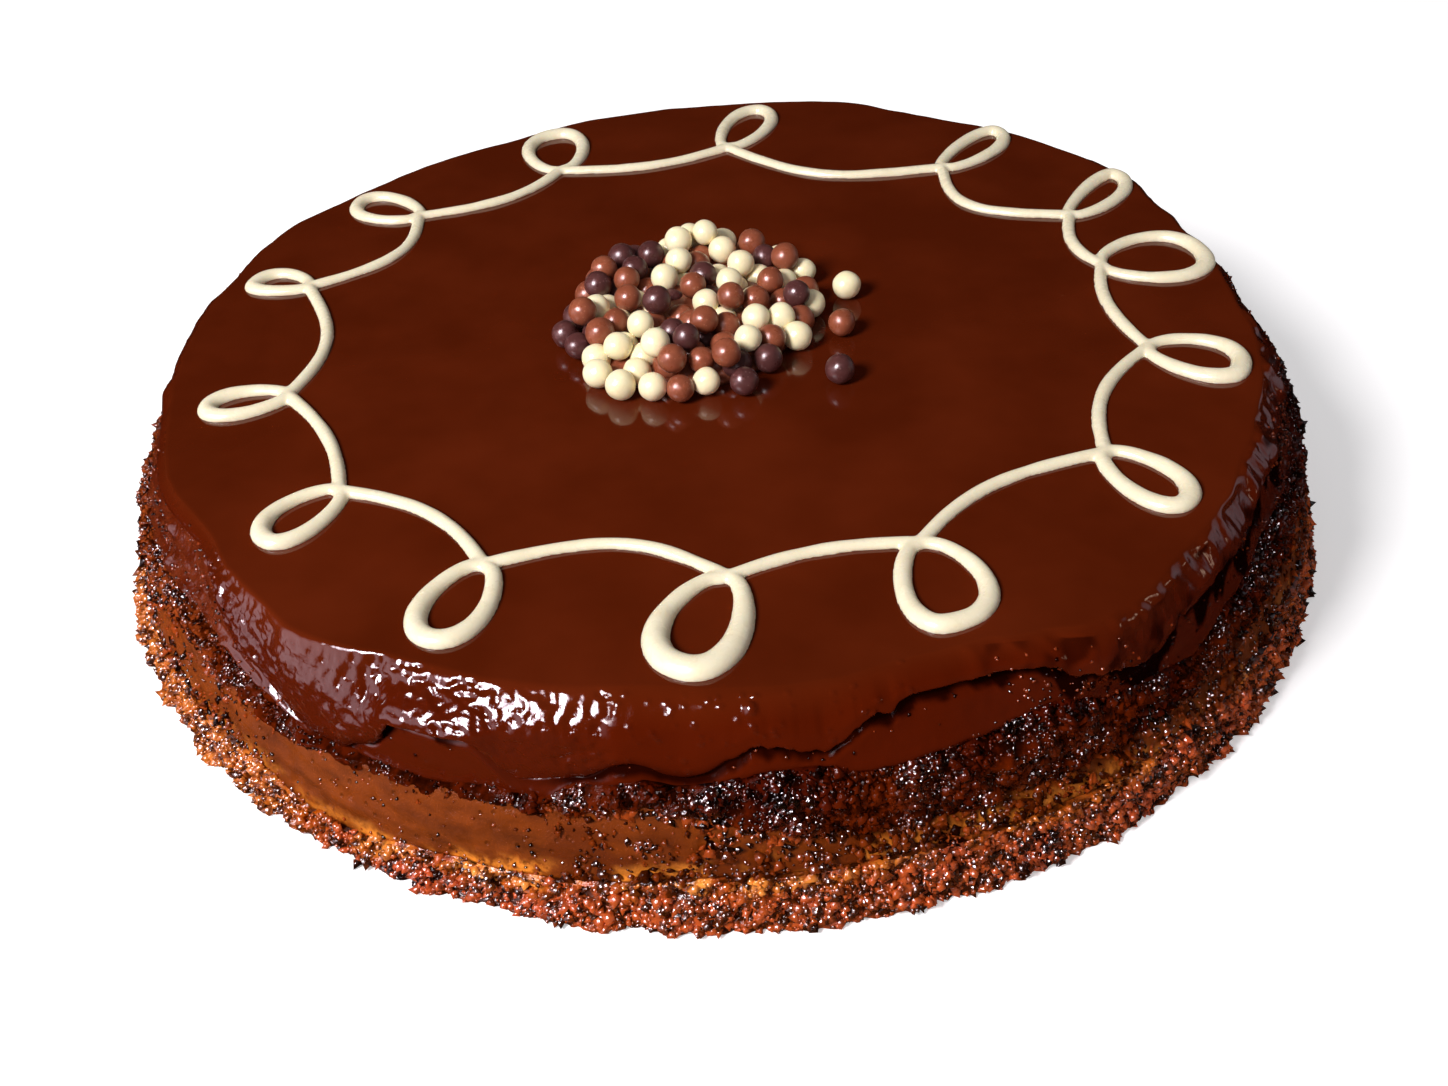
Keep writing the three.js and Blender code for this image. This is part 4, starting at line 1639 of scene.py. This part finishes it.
@dataclass
class CrumbScatter:
    """Crumbs that cling to a layer, as one piece of real mesh."""

    name: str
    density: float
    least: float
    most: float
    seed: int
    kinds: int = 6
    corner_reach: Span = (0.35, 0.95)
    squash: Span = (0.45, 1.05)
    growth: float = 1.8
    tones: Span = (0.1, 1)
    lowest: float = 0.05

    def build(self, host: Piece, material: Material) -> Piece:
        """Scatters the crumbs over a layer.

        Args:
            host: Layer whose points hold the share of crumbs.
            material: Finish of the crumbs.

        Returns:
            The new piece, with the crumbs alone.
        """
        carrier = bpy.data.objects.new(self.name, host.data.copy())
        bpy.context.scene.collection.objects.link(carrier)
        crumbs = [self.crumb(kind) for kind in range(self.kinds)]
        values = {
            "Density": self.density / MM**2,
            "Least size": self.least * MM,
            "Most size": self.most * MM,
            "Seed": self.seed,
            "Material": material,
        }
        self.recipe(crumbs).run(carrier, values)
        for mesh in [crumb.data for crumb in crumbs]:
            bpy.data.meshes.remove(mesh)
        self.rest(carrier.data)
        LOG.info("%s: %d faces", self.name, len(carrier.data.polygons))
        return carrier

    def rest(self, mesh: Mesh) -> None:
        """Flattens what would sink into the table.

        Args:
            mesh: Mesh of the crumbs, changed in place.
        """
        points = np.empty(3 * len(mesh.vertices), dtype=np.float32)
        mesh.vertices.foreach_get("co", points)
        points[2::3] = np.maximum(points[2::3], self.lowest * MM)
        mesh.vertices.foreach_set("co", points)
        mesh.update()

    def crumb(self, kind: int) -> Piece:
        """One uneven chip about one unit across.

        Args:
            kind: Number of the chip.

        Returns:
            The chip, which is removed once it is scattered.
        """
        draws = np.random.default_rng(self.seed * 10 + kind)
        corners = np.concatenate([np.eye(3), -np.eye(3)])
        chip = corners * draws.uniform(*self.corner_reach, (6, 1)) * draws.uniform(*self.squash, 3)
        mesh = make_mesh(f"crumb_{kind}", chip / MM, np.array(CHIP_FACES), np.zeros((0, 4), int))
        mesh.shade_flat()
        return add_object(mesh)

    def recipe(self, crumbs: list[Piece]) -> NodeRecipe:
        """Tree that scatters the chips by the layer's own share of crumbs.

        Args:
            crumbs: The kinds of chip.

        Returns:
            The finished recipe.
        """
        recipe = NodeRecipe(self.name, Density="Float", Least_size="Float", Most_size="Float", Seed="Int")
        wiring, given = recipe.wiring, recipe.given
        share = wiring.add("GeometryNodeInputNamedAttribute", {"Name": "crumbs"}).outputs[0]
        density = wiring.math("MULTIPLY", given["Density"], share)
        inputs = {"Mesh": given["Geometry"], "Density": density, "Seed": given["Seed"]}
        spots = wiring.add("GeometryNodeDistributePointsOnFaces", inputs).outputs["Points"]
        kinds = wiring.add("GeometryNodeJoinGeometry")
        for crumb in crumbs:
            chip = wiring.add("GeometryNodeObjectInfo", {"Object": crumb, "As Instance": True})
            wiring.feed(kinds.inputs[0], chip.outputs["Geometry"])
        span = wiring.math("SUBTRACT", given["Most size"], given["Least size"])
        grown = wiring.math("POWER", recipe.chance(0, 1, 3), self.growth)
        growth = wiring.math("MULTIPLY", grown, span)
        pick = wiring.add("FunctionNodeRandomValue", {4: 0, 5: len(crumbs) - 1, "Seed": 7}, data_type="INT")
        inputs = {
            "Points": spots,
            "Instance": kinds.outputs[0],
            "Pick Instance": True,
            "Instance Index": pick.outputs[2],
            "Rotation": recipe.turn(5),
            "Scale": wiring.math("ADD", given["Least size"], wiring.math("MULTIPLY", growth, share)),
        }
        placed = wiring.add("GeometryNodeInstanceOnPoints", inputs).outputs[0]
        inputs = {"Geometry": placed, "Name": "tone", "Value": recipe.chance(*self.tones, 9)}
        toned = wiring.add("GeometryNodeStoreNamedAttribute", inputs, domain="INSTANCE")
        return recipe.end(toned.outputs[0])


@dataclass(frozen=True)
class Loop:
    """One loop: its knot and tip as azimuth and radius, its bellies, the next swag's sag and its bead."""

    knot: Span
    tip: Span
    far: float
    near: float
    sag: float
    bead: float


LOOPS = (
    Loop((88.4, 86.6), (84, 108.7), 5.4, 5.4, 14, 3.8),
    Loop((51.2, 87.4), (51, 112), 5.5, 3.4, 13, 3.8),
    Loop((26.2, 90.4), (32, 112), 5.8, 2.6, 4, 3.8),
    Loop((10.7, 85.5), (9, 108.2), 8, 10.4, 5, 4.2),
    Loop((347.6, 89.2), (343.5, 107), 4.6, 8, 7, 4.2),
    Loop((322.3, 90.6), (318.5, 109.7), 4.3, 5.8, 8, 4.2),
    Loop((293.4, 87), (289.7, 108.6), 5, 9.1, 4.5, 4.2),
    Loop((270.4, 86.7), (266.9, 110.4), 8, 5.7, 10.5, 5.7),
    Loop((241.8, 90.5), (243.7, 111.2), 6, 5.4, 7, 4.4),
    Loop((217, 91.2), (220, 108.7), 6, 4, 5, 4),
    Loop((192.6, 91.8), (192.9, 108.2), 4.3, 4, 9, 4.2),
    Loop((164.7, 97), (165.5, 110.3), 5.6, 2.4, 10, 3.8),
    Loop((141.5, 92.9), (142.5, 111), 4.8, 6, 7.5, 3.8),
    Loop((116.7, 88.2), (112.4, 108.6), 5.8, 8, 7, 4),
)


def flat_place(azimuth: float, radius: float) -> Array:
    """Place on the flat top from an azimuth in degrees and a radius."""
    angle = math.radians(azimuth)
    return np.array([radius * math.cos(angle), radius * math.sin(angle)])


@dataclass
class Garland:
    """White chocolate line piped in loops and swags round the top."""

    name: str = "garland_bead"
    swag_bead: float = 3
    loop_steps: int = 12
    loop_pear: float = 0.2
    swag_steps: int = 5
    bead_height: float = 1
    bead_foot: float = -0.06
    sides: int = 20
    fineness: int = 6
    sunk: float = 0.15
    uneven: Relief = Relief(0.07, 9, 61, 2)
    voxel: float = 0.4
    melt: float = 0.5
    melt_rounds: int = 5

    def build(self) -> Piece:
        """Pipes the line and lets it fuse where it crosses itself.

        Returns:
            The new piece.
        """
        run, widths = self.path()
        rise = -self.sunk - FORM.bend_drop(run[:, 0], run[:, 1])
        points = FORM.on_top(run[:, 0], run[:, 1], rise)
        count = len(points)
        mesh = bpy.data.meshes.new(self.name)
        edges = [(n, (n + 1) % count) for n in range(count)]
        mesh.from_pydata((points * MM).tolist(), edges, [])
        hold(mesh, "bead", widths * (1 + self.uneven.at(points)) * MM)
        piece = add_object(mesh)
        values = {"Sides": self.sides, "Height": self.bead_height, "Material": IVORY_FINISH.material()}
        self.recipe().run(piece, values)
        fuse = piece.modifiers.new("fuse", "REMESH")
        fuse.mode = "VOXEL"
        fuse.voxel_size = self.voxel * MM
        fuse.use_smooth_shade = True
        melt = piece.modifiers.new("melt", "SMOOTH")
        melt.factor = self.melt
        melt.iterations = self.melt_rounds
        return settle(piece)

    def path(self) -> tuple[Array, Array]:
        """Whole line as a smooth curve.

        Returns:
            The places along it and the bead's widths.
        """
        corners = []
        for n, loop in enumerate(LOOPS):
            corners += self.loop_run(loop)
            corners += self.swag_run(loop, LOOPS[(n + 1) % len(LOOPS)])
        corner = np.array(corners)
        before, after, beyond = (np.roll(corner, turn, axis=0) for turn in (1, -1, -2))
        rows = []
        for step in range(self.fineness):
            t = step / self.fineness
            spline = (
                2 * corner
                + (after - before) * t
                + (2 * before - 5 * corner + 4 * after - beyond) * t**2
                + (3 * corner - before - 3 * after + beyond) * t**3
            )
            rows.append(spline / 2)
        line = np.stack(rows, axis=1).reshape(-1, 3)
        return line[:, :2], line[:, 2]

    def loop_run(self, loop: Loop) -> list[Triple]:
        """One loop: out along its far side, round the tip and back to the knot.

        Args:
            loop: The loop.

        Returns:
            Places and widths.
        """
        start, end = flat_place(*loop.knot), flat_place(*loop.tip)
        axis = end - start
        forward = np.array([axis[1], -axis[0]]) / np.linalg.norm(axis)
        corners = []
        for step in range(self.loop_steps + 1):
            phase = TAU * step / self.loop_steps
            side = loop.far if phase < math.pi else loop.near
            belly = side * math.sin(phase) * (1 - self.loop_pear * math.cos(phase))
            share = (1 - math.cos(phase)) / 2
            x, y = start + axis * share + forward * belly
            corners.append((x, y, self.swag_bead + (loop.bead - self.swag_bead) * share))
        return corners

    def swag_run(self, loop: Loop, after: Loop) -> list[Triple]:
        """Swag from one loop to the next, without the knots.

        Args:
            loop: Loop that the swag starts from.
            after: Loop that it leads to.

        Returns:
            Places and widths.
        """
        turn = -((loop.knot[0] - after.knot[0]) % 360)
        corners = []
        for step in range(1, self.swag_steps):
            share = step / self.swag_steps
            straight = loop.knot[1] + (after.knot[1] - loop.knot[1]) * share
            x, y = flat_place(loop.knot[0] + turn * share, straight - loop.sag * 4 * share * (1 - share))
            corners.append((x, y, self.swag_bead))
        return corners

    def recipe(self) -> NodeRecipe:
        """Tree that sweeps a low round bead along the line.

        Returns:
            The finished recipe.
        """
        recipe = NodeRecipe(self.name, Sides="Int", Height="Float")
        wiring, given = recipe.wiring, recipe.given
        line = wiring.add("GeometryNodeMeshToCurve", {"Mesh": given["Geometry"]}).outputs[0]
        upright = wiring.add("GeometryNodeSetCurveNormal", {"Curve": line})
        upright.mode = "Z_UP"
        bead = wiring.add("GeometryNodeInputNamedAttribute", {"Name": "bead"}).outputs[0]
        ring = wiring.add("GeometryNodeCurvePrimitiveCircle", {"Resolution": given["Sides"], "Radius": 0.5})
        place = wiring.add("ShaderNodeSeparateXYZ", {0: wiring.add("GeometryNodeInputPosition").outputs[0]})
        lowered = wiring.math("MULTIPLY", given["Height"], -1.0)
        lifted = wiring.math("MULTIPLY", wiring.math("MAXIMUM", place.outputs[1], self.bead_foot), lowered)
        shaped = wiring.add("ShaderNodeCombineXYZ", {0: place.outputs[0], 1: lifted}).outputs[0]
        section = wiring.add("GeometryNodeSetPosition", {"Geometry": ring.outputs[0], "Position": shaped})
        inputs = {"Curve": upright.outputs[0], "Profile Curve": section.outputs[0], "Scale": bead}
        return recipe.end(wiring.add("GeometryNodeCurveToMesh", inputs).outputs[0])


@dataclass
class PearlHeap:
    """Heap of chocolate pearls of three kinds over a low core, and three loose pearls."""

    pearl: float = 6
    centre: Span = (-5.5, 1)
    reach: float = 32.5
    ovality: float = 3
    long_axis: float = 250
    count: int = 106
    mound: float = 0.25
    tries: int = 100
    press: float = 0.92
    gap: float = 0.3
    seed: int = 7
    white_share: float = 0.37
    milk_share: float = 0.41
    white_cluster: Triple = (-22, -7, -15)
    left_edge: float = -25
    left_darker: float = 0.3
    sizes: Span = (0.93, 1.03)
    dent_size: float = 5
    dent_depth: float = 0.5
    loose: tuple[tuple[float, float, Slot], ...] = (
        (27.5, 8, Slot.WHITE), (25.5, -7.5, Slot.MILK), (24, -25.5, Slot.DARK),
    )
    core_name: str = "heap_core"
    core_share: float = 0.8
    core_step: float = 4.0
    core_middle: float = 4.5
    core_rings: tuple[Span, ...] = ((0.35, 4.3), (0.6, 3.4), (0.85, 2.3), (0.97, 1.2), (0.97, 0))
    core_lumps: Relief = Relief(0.4, 5, 7)

    def build(self) -> dict[Slot, Piece]:
        """Builds one piece for each kind of pearl.

        Returns:
            The pieces by kind.
        """
        places: dict[Slot, list[Triple]] = {kind: [] for kind in PEARL_FINISHES}
        draws = np.random.default_rng(self.seed)
        for x, y, z in self.pile():
            places[self.kind(x, y, draws.uniform())].append((x + self.centre[0], y + self.centre[1], z))
        for x, y, kind in self.loose:
            places[kind].append((x, y, self.pearl / 2))
        recipe = self.recipe()
        pieces = {}
        for kind, spots in places.items():
            mesh = bpy.data.meshes.new(f"{kind.name.lower()}_pearls")
            mesh.from_pydata((FORM.on_top(*np.array(spots).T) * MM).tolist(), [], [])
            finish = PEARL_FINISHES[kind].material()
            values = {"Pearl": self.pearl * MM, "Seed": self.seed, "Material": finish}
            pieces[kind] = recipe.run(add_object(mesh), values)
        return pieces

    def kind(self, x: float, y: float, draw: float) -> Slot:
        """Kind of one pearl: a white cluster in front on the left, dark ones on the left edge.

        Args:
            x: Place across the heap.
            y: Place from its front to its back.
            draw: Random number from 0 to 1.

        Returns:
            The slot of the pearl's chocolate.
        """
        left, right, front = self.white_cluster
        if left < x < right and y < front:
            return Slot.WHITE
        if x < self.left_edge:
            draw += self.left_darker
        if draw < self.white_share:
            return Slot.WHITE
        return Slot.MILK if draw < self.white_share + self.milk_share else Slot.DARK

    def heap_reach(self, angle: Array) -> Array:
        """Reach of the heap from its middle."""
        return self.reach + self.ovality * np.cos(2 * (angle - math.radians(self.long_axis)))

    def pile(self) -> Array:
        """Pearls dropped one by one, each at the lowest of a few tried places clear of the loose ones.

        Returns:
            The middle of each pearl, from the heap's own middle.
        """
        draw = seeded_draws(self.seed)
        contact = self.press * self.pearl
        loose = np.array([(x - self.centre[0], y - self.centre[1]) for x, y, _ in self.loose])
        pile = np.zeros((0, 3))
        for n in range(self.count):
            drawn_in = 1 - self.mound * n / self.count
            spots = np.array([(TAU * draw(), math.sqrt(draw())) for _ in range(self.tries)])
            reach = drawn_in * spots[:, 1] * self.heap_reach(spots[:, 0])
            place = np.stack([reach * np.cos(spots[:, 0]), reach * np.sin(spots[:, 0])], axis=-1)
            apart = np.linalg.norm(place[:, None] - pile[None, :, :2], axis=-1)
            lift = np.where(apart < contact, pile[:, 2] + np.sqrt(np.maximum(contact**2 - apart**2, 0)), 0)
            height = np.maximum(lift.max(axis=1, initial=0), self.pearl / 2)
            near = np.linalg.norm(place[:, None] - loose, axis=-1).min(axis=1) < self.pearl + self.gap
            height[near] = np.inf
            best = int(np.argmin(height))
            pile = np.concatenate([pile, [[*place[best], height[best]]]])
        return pile

    def recipe(self) -> NodeRecipe:
        """Tree that puts an almost round pearl on every point.

        Returns:
            The finished recipe.
        """
        recipe = NodeRecipe("pearls", Pearl="Float", Seed="Int")
        wiring, given = recipe.wiring, recipe.given
        radius = wiring.math("DIVIDE", given["Pearl"], 2.0)
        ball = wiring.add("GeometryNodeMeshIcoSphere", {"Radius": radius, "Subdivisions": 4}).outputs[0]
        inputs = {
            "Points": given["Geometry"],
            "Instance": ball,
            "Scale": recipe.chance(*self.sizes, given["Seed"]),
            "Rotation": recipe.turn(given["Seed"]),
        }
        placed = wiring.add("GeometryNodeInstanceOnPoints", inputs).outputs[0]
        real = wiring.add("GeometryNodeRealizeInstances", {0: placed}).outputs[0]
        inputs = {"Scale": 1 / (self.dent_size * MM), "Detail": 1.0}
        noise = wiring.add("ShaderNodeTexNoise", inputs).outputs[1]
        inputs = {0: noise, 1: (0.5, 0.5, 0.5)}
        centred = wiring.add("ShaderNodeVectorMath", inputs, operation="SUBTRACT").outputs[0]
        inputs = {0: centred, "Scale": self.dent_depth * MM}
        shift = wiring.add("ShaderNodeVectorMath", inputs, operation="SCALE").outputs[0]
        return recipe.end(wiring.add("GeometryNodeSetPosition", {0: real, "Offset": shift}).outputs[0])

    def core(self) -> Piece:
        """Low core under the heap, which only shows between pearls.

        Returns:
            The new piece.
        """
        angle = np.radians(np.arange(0, 360, self.core_step))
        surface = PolarSurface(self.core_name)
        for share, height in self.core_rings:
            reach = share * self.core_share * self.heap_reach(angle)
            x = self.centre[0] + reach * np.cos(angle)
            y = self.centre[1] + reach * np.sin(angle)
            place = FORM.on_top(x, y, height)
            place[:, 2] += self.core_lumps.at(place) * (height > 0)
            surface.add(place)
        mesh = surface.mesh(FORM.on_top(*self.centre, self.core_middle), FORM.on_top(*self.centre, 0))
        return add_object(mesh, PEARL_FINISHES[Slot.MILK].material())


# Studio

@dataclass(frozen=True)
class Panel:
    """Dim panel round the cake: where it is, how wide it fades, and its light."""

    way: Triple
    edge: float
    middle: float
    colour: Triple


@dataclass
class Studio:
    """Pale floor, soft studio light and the camera at the photograph's angle."""

    camera_place: Triple = (0.02, -316.49, 229.131)
    camera_right: Triple = (0.99989, -0.00914, -0.01176)
    camera_up: Triple = (0.01489, 0.61331, 0.7897)
    image_width: float = 1448
    focal_pixels: float = 1700
    sensor: float = 36
    near_clip: float = 0.01
    key_way: Triple = (-0.545, -0.541, 0.64)
    key_far: float = 1.2
    key_size: float = 0.36
    key_power: float = 18.4
    key_colour: Triple = (1.0, 0.97, 0.98)
    ambient: Triple = (0.29, 0.28, 0.29)
    dark: Triple = (0.004, 0.0025, 0.002)
    backdrop: Triple = (1.0, 1.0, 1.0)
    floor_half: float = 3000
    floor_drop: float = 0.2
    floor_glow: float = 0.4
    floor_tones: tuple[Triple, Triple] = ((0.9, 0.9, 0.9), (0.92, 0.92, 0.92))
    panels: tuple[Panel, ...] = (
        Panel((-0.93, -0.36, 0.05), 0.82, 0.97, (2.3, 2.0, 2.25)),
        Panel((-0.557, -0.529, 0.64), 0.95, 0.99, (34, 31, 35)),
        Panel((0.9, 0.38, 0.2), 0.93, 0.985, (0.44, 0.41, 0.47)),
        Panel((0.96, -0.15, 0.22), 0.99, 0.998, (5, 3.6, 2.6)),
        Panel((0.0, -0.6, -0.8), 0.3, 0.95, (0.05, 0.022, 0.004)),
    )

    def build(self) -> None:
        """Sets up the whole studio."""
        view = bpy.context.scene.view_settings
        view.view_transform = "Standard"
        view.look = "None"
        self.camera()
        self.floor()
        self.lamp()
        self.sky()

    def stand(self, name: str, data: bpy.types.ID, right: Array, up: Array, place: Array) -> Piece:
        """Puts a camera or a lamp in the scene.

        Args:
            name: Name of the object.
            data: The camera or the lamp.
            right: Way to its right.
            up: Way up from it.
            place: Where it stands, in metres.

        Returns:
            The new object.
        """
        piece = bpy.data.objects.new(name, data)
        turn = np.eye(4)
        turn[:3] = np.stack([right, up, np.cross(right, up), place], axis=-1)
        piece.matrix_world = Matrix(turn.tolist())
        bpy.context.scene.collection.objects.link(piece)
        return piece

    def camera(self) -> None:
        """Camera at the photograph's place, without shift or depth of field."""
        lens = bpy.data.cameras.new("camera")
        lens.sensor_fit = "HORIZONTAL"
        lens.sensor_width = self.sensor
        lens.lens = self.sensor * self.focal_pixels / self.image_width
        lens.clip_start = self.near_clip
        right, up, place = (np.array(way) for way in (self.camera_right, self.camera_up, self.camera_place))
        bpy.context.scene.camera = self.stand("camera", lens, right, up, place * MM)

    def floor(self) -> None:
        """Pale floor that the cake stands on."""
        corners = np.array([(-1.0, -1.0, 0.0), (1.0, -1.0, 0.0), (1.0, 1.0, 0.0), (-1.0, 1.0, 0.0)])
        corners *= self.floor_half
        corners[:, 2] -= self.floor_drop
        mesh = make_mesh("floor", corners, np.zeros((0, 3), int), np.array([[0, 1, 2, 3]]))
        wiring = ShaderWiring("pale_floor")
        dim, pale = self.floor_tones
        material = wiring.surface(
            Base_Color=wiring.ramp(wiring.noise(300, 2), (0.3, dim), (0.7, pale)),
            Roughness=0.7,
            Specular_IOR_Level=0.0,
            Emission_Color=(1.0, 1.0, 1.0, 1.0),
            Emission_Strength=self.floor_glow,
        )
        floor = add_object(mesh, material)
        floor.visible_glossy = False

    def lamp(self) -> None:
        """Key light from the front left."""
        lamp = bpy.data.lights.new("key", "AREA")
        lamp.shape = "DISK"
        lamp.size = self.key_size
        lamp.energy = self.key_power
        lamp.color = self.key_colour
        way = np.array(self.key_way) / np.linalg.norm(self.key_way)
        side = np.cross((0, 0, 1), way)
        side /= np.linalg.norm(side)
        key = self.stand("key", lamp, side, np.cross(way, side), way * self.key_far)
        key.visible_camera = False

    def sky(self) -> None:
        """White backdrop, even fill, and dim panels that only show as gloss."""
        world = bpy.data.worlds.new("studio")
        world.use_nodes = True
        world.cycles.sampling_method = "NONE"
        bpy.context.scene.world = world
        wiring = Wiring(world.node_tree)
        way = wiring.add("ShaderNodeTexCoord").outputs["Generated"]
        path = wiring.add("ShaderNodeLightPath").outputs
        gloss: Any = self.dark
        for panel in self.panels:
            facing = wiring.add("ShaderNodeVectorMath", {0: way, 1: panel.way}, operation="DOT_PRODUCT")
            inputs = {"Value": facing.outputs["Value"], 1: panel.edge, 2: panel.middle, 3: 0.0, 4: 1.0}
            share = wiring.add("ShaderNodeMapRange", inputs, interpolation_type="SMOOTHSTEP").outputs[0]
            gloss = wiring.mix(share, gloss, panel.colour)
        fill = wiring.mix(path["Is Glossy Ray"], self.ambient, gloss)
        shown = wiring.mix(path["Is Camera Ray"], fill, self.backdrop)
        background = wiring.add("ShaderNodeBackground", {"Color": shown})
        wiring.add("ShaderNodeOutputWorld", {0: background.outputs[0]})


def main() -> None:
    """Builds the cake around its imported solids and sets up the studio."""
    logging.basicConfig(level=logging.INFO, format="%(name)s: %(message)s")
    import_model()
    Studio().build()
    angle = azimuth_columns(fine_from=205, fine_to=345, fine_step=0.24, step=0.4)

    foot = SpongeFoot().build(angle)
    band = MousseBand().build(angle)
    belt = SpongeBelt().build(angle)
    skin = GlazeSkin().build(angle)
    scatters = (
        (CrumbScatter("base_crumbs", 2.0, 0.55, 2.5, 3), foot, BASE_FINISH, Slot.SPONGE),
        (CrumbScatter("belt_crumbs", 3.2, 0.6, 2.9, 4), belt, BELT_FINISH, Slot.SPONGE),
        (CrumbScatter("mousse_crumbs", 1.05, 0.7, 2.8, 5), band, CRUMB_FINISH, Slot.SPONGE),
        (CrumbScatter("coat_crumbs", 1.6, 0.6, 2.0, 6), skin, FILM_FINISH, Slot.GLAZE),
    )
    crumbs = [(scatter.build(host, finish.material()), slot) for scatter, host, finish, slot in scatters]
    garland = Garland().build()
    heap = PearlHeap()
    core = heap.core()
    pearls = heap.build()

    hand_over(foot, Slot.SPONGE, "base_sponge")
    hand_over(band, Slot.MOUSSE, "mousse")
    hand_over(belt, Slot.SPONGE, "top_sponge")
    hand_over(skin, Slot.GLAZE, "glaze")
    for piece, slot in crumbs:
        hand_over(piece, slot)
    hand_over(garland, Slot.WHITE, "piped_garland")
    hand_over(core, Slot.MILK, "pearl_heap")
    loose = {Slot.WHITE: "loose_pearl_1", Slot.MILK: "loose_pearl_2", Slot.DARK: "loose_pearl_3"}
    for kind, piece in pearls.items():
        hand_over(piece, kind, loose[kind])

    bpy.context.view_layer.update()


if __name__ == "__main__":
    main()
